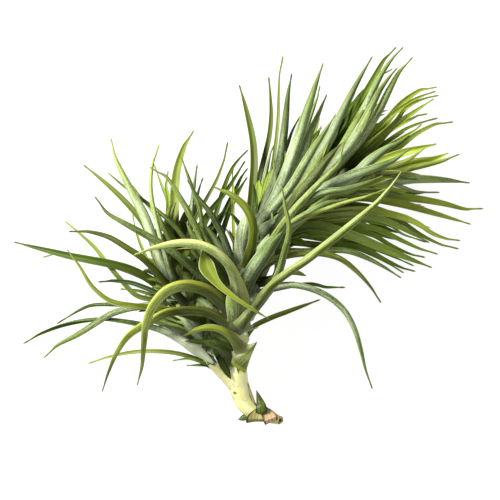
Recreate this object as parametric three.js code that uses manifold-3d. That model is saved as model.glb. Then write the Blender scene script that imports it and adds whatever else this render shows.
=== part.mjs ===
// Air plant: a small tufted tillandsia lying on a table, seen from above.
// Millimetres. +X to the right, +Y away from the cut foot, +Z up from the table.
// A short pale stem forks into two shoots. Narrow channelled leaves grow all round
// each shoot, their roots on the stem and their tips spread out like a fountain.
import * as THREE from 'three';
import Module from 'manifold-3d';
import { mergeVertices } from 'three/addons/utils/BufferGeometryUtils.js';

const wasm = await Module();
wasm.setup();

// Driving dimensions, in mm
const clearance = 0.35;     // air kept between two leaves that pass each other
const cell = 0.5;           // size of the plan squares in which leaves look for each other
const stationStep = 8.5;    // distance between the cross-sections of a leaf
const rootThickness = 0.95; // leaf blade at its root
const tipThickness = 0.45;  // leaf blade at its tip
const channelDepth = 0.27;  // how deep a blade is grooved, as a share of its width
const sheathFlare = 0.3;    // extra width where a leaf clasps the stem, as a share
const sheathReach = 0.13;   // share of the leaf's length that the sheath takes
const tipTaper = 2.1;       // how late a leaf starts to narrow towards its tip
const liftReach = 15;       // length over which a leaf bends to clear its neighbour
const scaleReach = 3;       // and over which a short scale does, so that it follows the stem
const underMargin = 6;      // a leaf this far below another passes under it
const laidWithin = 0.05;    // a leaf may still want this much lift when it is left to lie
const mostPasses = 40;      // times that a leaf is bent before it is left to lie
const leastStations = 5;    // cross-sections of the shortest leaf
const sampleStep = 0.8;     // spacing of the points by which a leaf finds its squares, in cells
const columnKeys = 4096;    // numbers kept for the squares of one column of the plan
const stemSides = 10;       // sides of the round stem, and its steps along each shoot
const mainSteps = 26;
const sideSteps = 13;
const skinRoughness = 0.65;

// Colour of the upright face of each kind of leaf, and of the woody parts
const colours = {
  silver: 0xa9bf9c,
  green: 0x5f8240,
  dark: 0x3d5a26,
  olive: 0x7d8a2e,
  bright: 0xb4c24e,
  sheath: 0xc3bd8c,
  scale: 0x8a6f45,
  thorn: 0x35501f,
  stem: 0xdfe0a8,
};

function pieceMaterial(kind) {
  return new THREE.MeshStandardMaterial({ color: colours[kind], roughness: skinRoughness, metalness: 0 });
}

// ---- Stem: from the cut stub at the foot up the main shoot, with one side shoot ----

// Centre line and radius [x, y, z, r]
const mainStem = [
  [11.6, -68.2, 2, 1.7], [7.4, -66.9, 2.7, 2.4], [3.4, -65.8, 3.2, 2.8], [-0.4, -63.4, 4, 3.5],
  [-3.4, -58, 6.4, 4], [-4.8, -52, 9.4, 4.1], [-4.6, -46, 13.4, 3.1], [-3.8, -38, 18.4, 2.2],
  [-3.2, -28, 23.6, 1.8], [-2, -18, 27, 1.6], [0, 3, 30, 1.5], [18, 18.5, 32, 1.3],
  [36, 29, 33, 0.9],
];
const sideShoot = [
  [-5.4, -55, 8, 2.8], [-8.6, -51.5, 10, 2.7], [-12.4, -48, 12.6, 2.2], [-16, -44, 15.4, 1.9],
  [-20.5, -35, 19.6, 1.6], [-27, -22, 24.4, 1.3], [-31, -12, 27, 0.9],
];

// A round rod through the given centre points, its radius running smoothly between theirs
function taperedRod(points, steps) {
  const line = new THREE.CatmullRomCurve3(points.map(([x, y, z]) => new THREE.Vector3(x, y, z)));
  const radii = new THREE.CatmullRomCurve3(points.map(([, , , r]) => new THREE.Vector3(r, 0, 0)));
  const frames = line.computeFrenetFrames(steps);
  const positions = [];
  for (let i = 0; i <= steps; i++) {
    const centre = line.getPointAt(i / steps);
    const radius = radii.getPoint(line.getUtoTmapping(i / steps)).x;
    for (let k = 0; k < stemSides; k++) {
      const angle = 2 * Math.PI * k / stemSides;
      const point = centre.clone()
        .addScaledVector(frames.normals[i], radius * Math.cos(angle))
        .addScaledVector(frames.binormals[i], radius * Math.sin(angle));
      positions.push(...point.toArray());
    }
  }
  const start = positions.length / 3;
  positions.push(...line.getPointAt(0).toArray(), ...line.getPointAt(1).toArray());
  const faces = [];
  for (let i = 0; i < steps; i++) {
    for (let k = 0; k < stemSides; k++) {
      const a = i * stemSides + k;
      const b = i * stemSides + (k + 1) % stemSides;
      faces.push(a, b, b + stemSides, a, b + stemSides, a + stemSides);
    }
  }
  for (let k = 0; k < stemSides; k++) {
    const next = (k + 1) % stemSides;
    const last = steps * stemSides;
    faces.push(start, next, k, start + 1, last + k, last + next);
  }
  return closedGeometry(positions, faces);
}

// Indexed geometry with its faces turned outward
function closedGeometry(positions, faces) {
  const geometry = new THREE.BufferGeometry();
  geometry.setAttribute('position', new THREE.Float32BufferAttribute(positions, 3));
  geometry.setIndex(signedVolume(positions, faces) > 0 ? faces : faces.toReversed());
  return geometry;
}

function signedVolume(positions, faces) {
  const corner = (i) => new THREE.Vector3().fromArray(positions, 3 * faces[i]);
  let volume = 0;
  for (let i = 0; i < faces.length; i += 3) {
    volume += corner(i).dot(corner(i + 1).cross(corner(i + 2))) / 6;
  }
  return volume;
}

function toSolid(geometry) {
  const merged = mergeVertices(geometry);
  return new wasm.Manifold(new wasm.Mesh({
    numProp: 3,
    vertProperties: new Float32Array(merged.attributes.position.array),
    triVerts: new Uint32Array(merged.index.array),
  }));
}

function fromSolid(solid) {
  const mesh = solid.getMesh();
  const geometry = new THREE.BufferGeometry();
  geometry.setAttribute('position', new THREE.BufferAttribute(mesh.vertProperties, 3));
  geometry.setIndex(new THREE.BufferAttribute(mesh.triVerts, 1));
  return geometry;
}

// The side shoot sits against the main stem, cut to its round side with a hair of air between
function sideShootGeometry() {
  const thicker = mainStem.map(([x, y, z, r]) => [x, y, z, r + clearance]);
  const branch = toSolid(taperedRod(sideShoot, sideSteps));
  return fromSolid(branch.subtract(toSolid(taperedRod(thicker, mainSteps))));
}

// ---- Leaves ----

// Each leaf: kind, width, heights above the table at its root, middle and tip, turn of the
// blade about its length at the root and at the tip in degrees (0 shows the silvery outer
// face from above, 180 the green groove), and its plan line from root to tip.
const leaves = {
  // Lowest leaves, bent out along the table
  left_olive_leaf_1: ['olive', 1.6, [5.5, 4, 0.7], [180, 180],
    [[-14, -47.5], [-19.3, -44.7], [-26.5, -42], [-37.8, -40.6], [-51, -41.5], [-65.3, -45.6]]],
  left_dark_leaf_1: ['dark', 3.2, [19, 10, 0.7], [0, 160],
    [[-14.5, -45.4], [-22, -38.9], [-32, -32.3], [-46.7, -28.4], [-63.6, -27.3], [-80, -31.3],
      [-91.3, -37.8]]],
  left_silver_leaf_1: ['silver', 2.6, [18, 11, 1], [20, 20],
    [[-33, -20], [-44, -22.5], [-52, -23.6], [-59, -27], [-68, -33], [-77, -37.8], [-83, -43.5]]],
  left_green_leaf_1: ['green', 1.8, [6, 7, 3], [180, 180],
    [[-29, -20], [-44, -19], [-50, -13.8], [-57, -5.8], [-63, 1.8], [-74.5, 11.8]]],
  left_dark_leaf_2: ['dark', 1.8, [29, 24, 14], [180, 180],
    [[-28, -19], [-36.9, -17.3], [-43.6, -14.2], [-52, -12.4], [-61, -12.8]]],
  left_dark_leaf_3: ['dark', 3, [17, 20, 8], [180, 180],
    [[-27, -20], [-36, -15], [-42, -10.5], [-50, -7], [-58, -5.1], [-72, -2.4], [-95, 3.3]]],
  left_green_leaf_2: ['green', 2.3, [20, 19, 6], [180, 180],
    [[-31.5, -11], [-36.5, -6], [-38, 0], [-42.7, 10.7], [-47.6, 16.9], [-55.6, 24.9], [-67, 34.3]]],
  left_olive_leaf_2: ['olive', 3.4, [26, 22, 12], [180, 180],
    [[-29.6, -8], [-30, 2], [-30.2, 15.6], [-29.5, 30], [-26.5, 41], [-22.4, 48]]],
  left_olive_leaf_3: ['olive', 1.4, [19, 20, 14], [180, 180],
    [[-28, -10], [-25, 4], [-21, 14], [-17.5, 20.4], [-11.6, 32], [-8.8, 43.6]]],
  left_dark_leaf_4: ['dark', 1.9, [30, 24, 15], [180, 180],
    [[-26, -6], [-21, 8], [-15.3, 16.4], [-11, 21.5], [-5.5, 29.8], [-1.8, 36]]],
  foot_olive_leaf_1: ['olive', 1.9, [9, 10, 5], [180, 180],
    [[-3, -37], [2, -30.2], [10, -26.6], [18, -23.6], [28.4, -19.8]]],
  right_olive_leaf_1: ['olive', 1.4, [22, 14, 1], [180, 180],
    [[5, 12], [9.5, 37], [11.3, 53.5], [11.8, 69.8], [13.3, 78.2]]],
  right_olive_leaf_2: ['olive', 2, [20, 16, 0.7], [180, 180],
    [[-1, 6], [3.5, 28], [7.6, 45], [8.5, 55], [7.5, 69.8]]],
  right_olive_leaf_3: ['olive', 2.8, [22, 22, 6], [180, 180],
    [[-3, 2], [0, 16], [1.3, 29], [1.6, 39.6], [-0.7, 53], [-4.4, 66.5]]],
  right_dark_leaf_1: ['dark', 3, [22, 12, 0.7], [180, 180],
    [[22, 25], [38.4, 50], [47.2, 64.4], [53.6, 76], [59, 81.8]]],
  right_olive_leaf_4: ['olive', 3, [23, 16, 4], [180, 180],
    [[26, 24], [50.8, 46], [58.4, 56.4], [68, 64], [75.4, 65.5]]],
  right_green_leaf_1: ['green', 2.2, [13, 9, 0.7], [180, 180],
    [[30, 25], [50, 36], [61.6, 42.4], [70.4, 49.2], [82, 51.5]]],
  right_green_leaf_2: ['green', 2.6, [26, 23, 12], [180, 180],
    [[28, 26], [53.2, 46.4], [63.2, 53.6], [73.8, 60.7]]],
  right_olive_leaf_5: ['olive', 3, [23, 12, 0.7], [180, 180],
    [[22, 18], [45, 24], [61.6, 21.2], [75.2, 19.2], [86.4, 16.4], [94, 16.6]]],
  right_green_leaf_3: ['green', 2.1, [22, 14, 2], [180, 180],
    [[12, 8], [36, 15], [55.2, 14], [67.2, 6.8], [77.6, 1.8], [84.2, 0.3]]],
  right_olive_leaf_6: ['olive', 2.8, [23, 18, 8], [180, 180],
    [[20, 17], [42, 21], [61.6, 18], [76, 14], [88.8, 10.2]]],
  right_green_leaf_4: ['green', 2.3, [22, 20, 7], [180, 180],
    [[8, 4], [35, 10], [52, 8], [64, 2], [75.6, -1.8]]],
  right_green_leaf_5: ['green', 3.6, [28, 26, 10], [180, 180],
    [[4, 1.4], [14, 7], [25, 9.7], [40, 6], [52, 1.2], [64, -3.6], [73.2, -7.2]]],
  // Middle leaves, roots beside or just above the shoot
  right_silver_leaf_1: ['silver', 2.3, [30, 36, 0.7], [0, 0],
    [[0, -19.5], [12.8, -14], [28, -16.8], [38.7, -25.6], [43.2, -36], [46.2, -47.6], [49.2, -56]]],
  right_green_leaf_6: ['green', 2.5, [33, 30, 12], [10, 10],
    [[-1, -7], [10, -1.5], [24, -0.8], [39.2, -0.6], [51.2, -5.6], [60.8, -11.4]]],
  right_olive_leaf_7: ['olive', 2.3, [34, 36, 14], [0, 0],
    [[0, -13], [8, -5], [20, -1.5], [34.4, -2.8], [45.6, -11.6], [52.6, -21.4]]],
  left_dark_leaf_5: ['dark', 1.6, [31, 34, 22], [0, 0],
    [[-20, -4], [-30, 9.5], [-37.8, 16.4], [-49, 24.4], [-57, 31]]],
  right_silver_leaf_2: ['silver', 3.8, [33, 28, 12], [10, 10],
    [[27, 20], [40, 25], [50, 27.6], [64.8, 28], [75, 28], [88.4, 26.8]]],
  right_olive_leaf_8: ['olive', 2.7, [36, 34, 24], [0, 0],
    [[30, 24], [50, 31], [60, 32], [77.6, 35.8], [84, 38.4]]],
  right_silver_leaf_3: ['silver', 3.2, [34, 34, 18], [0, 0],
    [[12, 16], [21, 29], [30, 42], [39.6, 60.8], [44.8, 70.4], [49.1, 77.7]]],
  right_silver_leaf_4: ['silver', 3.4, [36, 36, 18], [0, 0],
    [[25, 24], [42, 42], [52, 56.8], [58.8, 70], [65.2, 77.3]]],
  right_silver_leaf_5: ['silver', 3.3, [35, 32, 14], [0, 0],
    [[1, 6], [6, 18], [10.5, 29], [13.5, 46], [15.3, 63], [16.8, 71]]],
  left_silver_leaf_2: ['silver', 3, [33, 40, 28], [0, 0],
    [[-31, -16], [-37, 0], [-41.8, 13], [-48, 25], [-53.8, 37], [-55.6, 45]]],
  left_silver_leaf_3: ['silver', 1.8, [34, 44, 40], [0, 0],
    [[-31, -11], [-35.5, 5], [-39, 20], [-39.3, 31], [-36, 42.3]]],
  left_green_leaf_3: ['green', 2.4, [33, 44, 26], [0, 0],
    [[-26, -21], [-33.3, -13.3], [-40.6, -5], [-49, 0.9], [-57.3, 5.6], [-67, 7.6], [-72.5, 7.4]]],
  left_bright_leaf_1: ['bright', 2.8, [30, 42, 28], [30, 60],
    [[-20, -27], [-32, -23], [-44.4, -21.6], [-53.6, -20.2], [-61, -15.5], [-68, -5.7], [-73, 0.4]]],
  // Upper leaves, rising towards the viewer
  right_silver_leaf_6: ['silver', 4.2, [34, 41, 28], [0, 0],
    [[-1, 3], [9.8, 20], [16.7, 37], [21.8, 52.7], [26.5, 67], [29.3, 74.9]]],
  right_silver_leaf_7: ['silver', 4.3, [35, 43, 38], [0, 0],
    [[22, 17], [40, 28], [49.2, 36.8], [55.2, 40.8], [61.6, 44.2]]],
  right_silver_leaf_8: ['silver', 3.2, [35, 46, 40], [0, 0],
    [[2, 8], [16.4, 25.5], [23.6, 37.8], [28.7, 45.5], [34.2, 54.2]]],
  right_silver_leaf_9: ['silver', 3.4, [36, 46, 44], [0, 0],
    [[16, 15], [27, 23], [36, 28], [51.2, 33.2], [58.4, 36.4], [64, 40.4]]],
  right_silver_leaf_10: ['silver', 3.2, [34, 45, 48], [0, 0],
    [[-2.5, -11], [5, 1.5], [14, 9], [26.2, 16], [34, 20], [39.2, 20.5]]],
  right_silver_leaf_11: ['silver', 2.6, [37, 48, 48], [0, 0],
    [[8, 10], [20, 18.2], [29.8, 23], [40.8, 24.5], [50, 28.4], [53.2, 29.6]]],
  left_bright_leaf_2: ['bright', 3.4, [23, 42, 10], [0, 50],
    [[-3.6, -36], [-9, -29.5], [-15.6, -25], [-24.4, -23.8], [-33, -24.4], [-41, -28.4], [-49, -33.8],
      [-54.7, -42.7], [-59.3, -57]]],
  foot_bright_leaf_1: ['bright', 2.6, [24, 36, 34], [0, 0],
    [[-3, -40], [-8.7, -33.5], [-14.5, -30.9], [-21, -31.6], [-27, -34.6]]],
  left_green_leaf_4: ['green', 2.8, [31, 48, 36], [0, 0],
    [[-8, -21], [-21, -9], [-33, 1], [-46.7, 8.9], [-57, 15], [-62, 21.5]]],
  left_bright_leaf_3: ['bright', 4.4, [29, 52, 20], [0, 60],
    [[-5, -28], [-13.5, -18], [-20, -14.5], [-28, -13.5], [-36.4, -17.8], [-42.4, -29.3], [-43.3, -44.4],
      [-45.1, -54.4]]],
  left_green_leaf_5: ['green', 2.4, [34, 50, 44], [0, 0],
    [[-8, -14], [-17, -1], [-21.8, 10], [-27.3, 20], [-33.5, 29.3], [-40, 33]]],
  left_silver_leaf_4: ['silver', 2.5, [35, 52, 50], [0, 0],
    [[-4, -15], [-9, 1], [-14.2, 12.4], [-20.7, 21], [-25, 28]]],
  right_bright_leaf_1: ['bright', 3.2, [36, 54, 48], [0, 0],
    [[-1, -5], [1.1, 4], [0.8, 12], [-2.9, 18.2], [-9.8, 23.3], [-15, 25.3]]],
  right_bright_leaf_3: ['bright', 2.6, [36, 53, 60], [0, 0],
    [[-3, -15], [6.2, 0], [17, 15.3], [28, 27], [35.6, 35], [37.3, 43]]],
  left_bright_leaf_4: ['bright', 3.5, [30, 60, 48], [0, 20],
    [[-5, -31], [-4, -18], [-9, -4.7], [-19.3, 2.2], [-32, 2.7], [-40, 0.4], [-46.5, -2.2]]],
  left_bright_leaf_5: ['bright', 5, [28, 52, 50], [180, 180],
    [[-29, -9], [-26, 1], [-20.6, 2.6], [-18.3, -4], [-13.5, -12.4], [-6.5, -18.5], [8.5, -28]]],
  right_silver_leaf_13: ['silver', 2.2, [31, 56, 64], [0, 0],
    [[1, -25], [9, -14], [14, 0.7], [15.6, 9.8], [13.5, 18.9], [12.4, 26.2]]],
  right_bright_leaf_2: ['bright', 3, [36, 58, 60], [0, 0],
    [[-2.6, -28], [9.2, -13.6], [24.2, -2.6], [40, 10], [52, 20.5], [60.6, 31.8]]],
};

// Bracts and dry scales at the foot, in the same form, shorter and wider
const scales = {
  collar_sheath: ['sheath', 6.6, [15.5, 21, 22.5], [0, 0],
    [[-7.2, -46.4], [-4, -43.3], [-0.6, -40], [3, -36.6]]],
  dry_scale_1: ['scale', 4.8, [3.2, 6.2, 5.6], [198, 198],
    [[2, -68.6], [2.4, -66.2], [3.1, -63.4]]],
  dry_scale_2: ['scale', 3.6, [3, 5.2, 4.4], [194, 194],
    [[8.4, -68.9], [7.6, -66], [6.4, -62.8]]],
  green_thorn: ['thorn', 2.9, [5.6, 7.2, 8.2], [0, 0],
    [[5.2, -67.6], [4.8, -63.8], [3.8, -60], [2.5, -56]]],
};

// Stations of a leaf: points along its plan line at even steps, with their heights
function leafStations([, , heights, , plan]) {
  const line = new THREE.CatmullRomCurve3(
    plan.map(([x, y]) => new THREE.Vector3(x, y, 0)), false, 'centripetal');
  const count = Math.max(leastStations, Math.round(line.getLength() / stationStep));
  const [root, middle, tip] = heights;
  return line.getSpacedPoints(count).map((point, i) => {
    const t = i / count;
    // Parabola through the three heights
    point.z = root * (1 - t) * (1 - 2 * t) + 4 * middle * t * (1 - t) + tip * t * (2 * t - 1);
    return point;
  });
}

// Outline of the blade across its width, in halves of the width and in channel depths
const section = [[-1, 1, 0], [-0.5, 0.22, -0.5], [0.5, 0.22, -0.5], [1, 1, 0], [0.5, 0.22, 0.5],
  [-0.5, 0.22, 0.5]];

function leafMesh(row, stations) {
  const [, width, , [rootTurn, tipTurn]] = row;
  const last = stations.length - 1;
  const up = new THREE.Vector3(0, 0, 1);
  const positions = [];
  for (let i = 0; i < last; i++) {
    const t = i / last;
    const along = stations[i + 1].clone().sub(stations[Math.max(0, i - 1)]).normalize();
    const side = up.clone().cross(along).normalize();
    const outward = along.clone().cross(side);
    const turn = THREE.MathUtils.degToRad(rootTurn + (tipTurn - rootTurn) * t);
    side.applyAxisAngle(along, turn);
    outward.applyAxisAngle(along, turn);
    const sheath = sheathFlare * Math.exp(-((t / sheathReach) ** 2));
    const blade = width * (1 - t ** tipTaper + sheath);
    const thickness = rootThickness + (tipThickness - rootThickness) * t;
    for (const [across, deep, skin] of section) {
      const point = stations[i].clone()
        .addScaledVector(side, across * blade / 2)
        .addScaledVector(outward, -deep * channelDepth * blade - skin * thickness);
      positions.push(...point.toArray());
    }
  }
  positions.push(...stations[last].toArray());
  const sides = section.length;
  // The cut root, then the skin, then the point of the tip
  const faces = [0, 1, 5, 1, 2, 4, 1, 4, 5, 2, 3, 4];
  for (let i = 0; i < last - 1; i++) {
    for (let k = 0; k < sides; k++) {
      const a = i * sides + k;
      const b = i * sides + (k + 1) % sides;
      faces.push(a, a + sides, b + sides, a, b + sides, b);
    }
  }
  for (let k = 0; k < sides; k++) {
    faces.push((last - 1) * sides + k, last * sides, (last - 1) * sides + (k + 1) % sides);
  }
  return { positions, faces };
}

// ---- Laying the leaves over and under each other ----

// Heights taken up so far: for each plan square, the spans of the pieces that cross it
const spans = new Map();

// Lowest and highest point of a mesh in every plan square it crosses
function meshSpans({ positions, faces }) {
  const found = new Map();
  const corners = [new THREE.Vector3(), new THREE.Vector3(), new THREE.Vector3()];
  for (let f = 0; f < faces.length; f += 3) {
    corners.forEach((corner, k) => corner.fromArray(positions, 3 * faces[f + k]));
    const [a, b, c] = corners;
    const longest = Math.max(a.distanceTo(b), b.distanceTo(c), c.distanceTo(a));
    const steps = Math.ceil(longest / (sampleStep * cell));
    for (let i = 0; i <= steps; i++) {
      for (let j = 0; j <= steps - i; j++) {
        const u = i / steps;
        const v = j / steps;
        const x = a.x + (b.x - a.x) * u + (c.x - a.x) * v;
        const y = a.y + (b.y - a.y) * u + (c.y - a.y) * v;
        const z = a.z + (b.z - a.z) * u + (c.z - a.z) * v;
        const column = Math.floor(x / cell);
        const line = Math.floor(y / cell);
        const key = column * columnKeys + line;
        const span = found.get(key);
        if (span) {
          span.low = Math.min(span.low, z);
          span.high = Math.max(span.high, z);
        } else {
          found.set(key, { low: z, high: z, x, y });
        }
      }
    }
  }
  return found;
}

function occupy(mesh) {
  for (const [key, span] of meshSpans(mesh)) {
    if (!spans.has(key)) {
      spans.set(key, []);
    }
    spans.get(key).push(span);
  }
}

// How far each station has to rise (or sink) for the leaf to clear what is already there
function neededLift(mesh, stations, wished, reach) {
  const rise = new Array(stations.length).fill(0);
  const sink = new Array(stations.length).fill(0);
  let worst = 0;
  for (const [key, span] of meshSpans(mesh)) {
    let nearest = 0;
    stations.forEach((station, i) => {
      const distance = Math.hypot(station.x - span.x, station.y - span.y);
      const best = Math.hypot(stations[nearest].x - span.x, stations[nearest].y - span.y);
      nearest = distance < best ? i : nearest;
    });
    let up = -span.low;
    let down = 0;
    for (const beside of [0, 1, -1, columnKeys, -columnKeys]) {
      for (const other of spans.get(key + beside) ?? []) {
        if (wished[nearest] < (other.low + other.high) / 2 - underMargin) {
          down = Math.max(down, span.high + clearance - other.low);
        } else {
          up = Math.max(up, other.high + clearance - span.low);
        }
      }
    }
    if (up <= 0 && down <= 0) {
      continue;
    }
    worst = Math.max(worst, up, down);
    stations.forEach((station, i) => {
      const away = station.distanceTo(stations[nearest]) / reach;
      const share = away < 1 ? Math.cos(away * Math.PI / 2) ** 2 : 0;
      rise[i] = Math.max(rise[i], up * share);
      sink[i] = Math.max(sink[i], down * share);
    });
  }
  return { worst, lift: rise.map((value, i) => value - sink[i]) };
}

// Bend the leaf until it passes its neighbours, then keep its place
function laidLeaf(row, reach) {
  const stations = leafStations(row);
  const wished = stations.map((station) => station.z);
  let mesh = leafMesh(row, stations);
  let worst = 0;
  for (let pass = 0; pass < mostPasses; pass++) {
    const needed = neededLift(mesh, stations, wished, reach);
    worst = needed.worst;
    if (worst < laidWithin) {
      break;
    }
    stations.forEach((station, i) => {
      station.z += needed.lift[i];
    });
    mesh = leafMesh(row, stations);
  }
  occupy(mesh);
  return closedGeometry(mesh.positions, mesh.faces);
}

// ---- The plant ----

const plant = new THREE.Group();

function addPiece(name, kind, geometry) {
  const mesh = new THREE.Mesh(geometry, pieceMaterial(kind));
  mesh.name = name;
  plant.add(mesh);
}

const stems = { main_stem: taperedRod(mainStem, mainSteps), side_shoot_stem: sideShootGeometry() };
for (const [name, stem] of Object.entries(stems)) {
  occupy({ positions: stem.attributes.position.array, faces: stem.index.array });
  addPiece(name, 'stem', stem);
}
for (const [name, row] of Object.entries({ ...scales, ...leaves })) {
  addPiece(name, row[0], laidLeaf(row, name in scales ? scaleReach : liftReach));
}

// The origin is under the middle of the plant, on the table
const box = new THREE.Box3().setFromObject(plant);
const middle = box.getCenter(new THREE.Vector3());
plant.position.set(-middle.x, -middle.y, -box.min.z);

export default plant;
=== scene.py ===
import math
import random
from functools import partial

import bmesh
import bpy
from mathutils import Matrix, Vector
from mathutils.bvhtree import BVHTree


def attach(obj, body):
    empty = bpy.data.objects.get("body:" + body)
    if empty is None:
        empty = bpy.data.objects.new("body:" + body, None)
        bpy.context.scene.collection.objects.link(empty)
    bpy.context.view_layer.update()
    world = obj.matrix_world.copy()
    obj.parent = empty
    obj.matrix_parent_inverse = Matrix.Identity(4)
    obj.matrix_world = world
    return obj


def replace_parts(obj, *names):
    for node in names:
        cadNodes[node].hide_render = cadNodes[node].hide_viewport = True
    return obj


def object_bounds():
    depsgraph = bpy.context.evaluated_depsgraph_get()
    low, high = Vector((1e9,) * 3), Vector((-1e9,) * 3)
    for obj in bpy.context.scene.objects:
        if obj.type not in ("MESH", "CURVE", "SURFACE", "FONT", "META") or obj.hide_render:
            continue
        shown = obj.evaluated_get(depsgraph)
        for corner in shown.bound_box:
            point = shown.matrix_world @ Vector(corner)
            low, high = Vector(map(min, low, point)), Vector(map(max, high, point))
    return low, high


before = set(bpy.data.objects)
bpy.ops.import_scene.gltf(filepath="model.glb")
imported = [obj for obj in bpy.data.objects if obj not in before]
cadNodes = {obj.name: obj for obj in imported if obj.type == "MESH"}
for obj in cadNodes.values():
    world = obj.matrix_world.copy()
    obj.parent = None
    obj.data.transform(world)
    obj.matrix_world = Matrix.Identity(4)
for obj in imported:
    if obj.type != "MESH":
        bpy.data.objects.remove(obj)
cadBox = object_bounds()
scene = bpy.context.scene
mm = 0.001
print("frame loaded:", len(cadNodes), "nodes")


cameraSetup = {
    "centre": (0.5, -5.7),      # mm, the point of the table in the middle of the picture
    "width": 200.0,             # mm across the picture, at the height of the shoots
    "height": 15.0,             # mm, that height
    "lens": 700.0,              # a long lens, so that near and far leaves keep their sizes
    "sensor": 36.0,
}


def addCamera(setup):
    data = bpy.data.cameras.new("overhead")
    data.lens = setup["lens"]
    data.sensor_width = setup["sensor"]
    data.clip_start = 0.05
    data.clip_end = 20
    camera = bpy.data.objects.new("overhead", data)
    scene.collection.objects.link(camera)
    distance = setup["width"] * setup["lens"] / setup["sensor"]
    x, y = setup["centre"]
    camera.location = Vector((x, y, setup["height"] + distance)) * mm
    scene.camera = camera


lightSetup = {
    "key": {"energy": 68.0, "size": 0.6, "place": (-1.15, 0.8, 1.25)},    # soft box, upper left
    "fill": {"energy": 5.5, "size": 1.2, "place": (0.9, -0.5, 1.2)},
    "skyStrength": 0.15,
    "table": "#828282",
    "tableGrain": "#7e7e7e",
    "tableGlow": 0.93,          # the table is a white light table, as products are shown on
    "tableHalf": 4.0,           # m
    "tableDrop": 0.05,          # mm below the plant's lowest point, so that they don't touch
    "tableRoughness": 0.9,
    "paperGrain": 2.5,          # mm
}


def addLights(setup):
    for name in ("key", "fill"):
        part = setup[name]
        data = bpy.data.lights.new(name, "AREA")
        data.energy = part["energy"]
        data.size = part["size"]
        lamp = bpy.data.objects.new(name, data)
        scene.collection.objects.link(lamp)
        lamp.location = part["place"]
        lamp.rotation_euler = (-Vector(part["place"])).to_track_quat("-Z", "Y").to_euler()
    world = bpy.data.worlds.new("studio")
    world.use_nodes = True
    sky = world.node_tree.nodes["Background"]
    sky.inputs["Color"].default_value = (1, 1, 1, 1)
    sky.inputs["Strength"].default_value = setup["skyStrength"]
    scene.world = world
    scene.view_settings.view_transform = "Standard"


addCamera(cameraSetup)
addLights(lightSetup)
print("camera and lights placed")


def linear(hexColour):
    # sRGB hex to the linear colour that the shaders work in
    parts = [int(hexColour[i:i + 2], 16) / 255 for i in (1, 3, 5)]
    return tuple(c / 12.92 if c <= 0.04045 else ((c + 0.055) / 1.055) ** 2.4 for c in parts) + (1.0,)


def feed(tree, node, inputs):
    # inputs are values or links, in socket order or by name
    for key, value in (inputs.items() if isinstance(inputs, dict) else enumerate(inputs)):
        if isinstance(value, bpy.types.NodeSocket):
            tree.links.new(value, node.inputs[key])
        else:
            node.inputs[key].default_value = value


def addNode(tree, kind, inputs=(), out=0, **settings):
    # one node with its settings and links; out=None gives all that comes out of it
    node = tree.nodes.new(kind)
    for key, value in settings.items():
        setattr(node, key, value)
    feed(tree, node, inputs)
    return node.outputs if out is None else node.outputs[out]


def newMaterial(name):
    material = bpy.data.materials.new(name)
    material.use_nodes = True
    tree = material.node_tree
    return material, tree, tree.nodes["Principled BSDF"], partial(addNode, tree)


maths, vectorMaths, attribute = "ShaderNodeMath", "ShaderNodeVectorMath", "ShaderNodeAttribute"
ramp, mix, split = "ShaderNodeMapRange", "ShaderNodeMix", "ShaderNodeSeparateXYZ"
noiseTexture, bumpNode = "ShaderNodeTexNoise", "ShaderNodeBump"
soft = {"interpolation_type": "SMOOTHSTEP"}
colours = {"out": 2, "data_type": "RGBA"}       # a Mix node's colour sockets are its numbers 6 and 7
times, timesPlus, plus, minus, dividedBy, unsigned = [
    {"operation": name} for name in ("MULTIPLY", "MULTIPLY_ADD", "ADD", "SUBTRACT", "DIVIDE", "ABSOLUTE")]


def alongBlade(node, place, size, noise):
    # noise drawn out along a blade, so many mm across and along
    drawn = node(vectorMaths, (place, (1 / size[0], 1 / size[1], 1.0)), **times)
    return node(noiseTexture, {"Vector": drawn, "Scale": 1.0, **noise})


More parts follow.
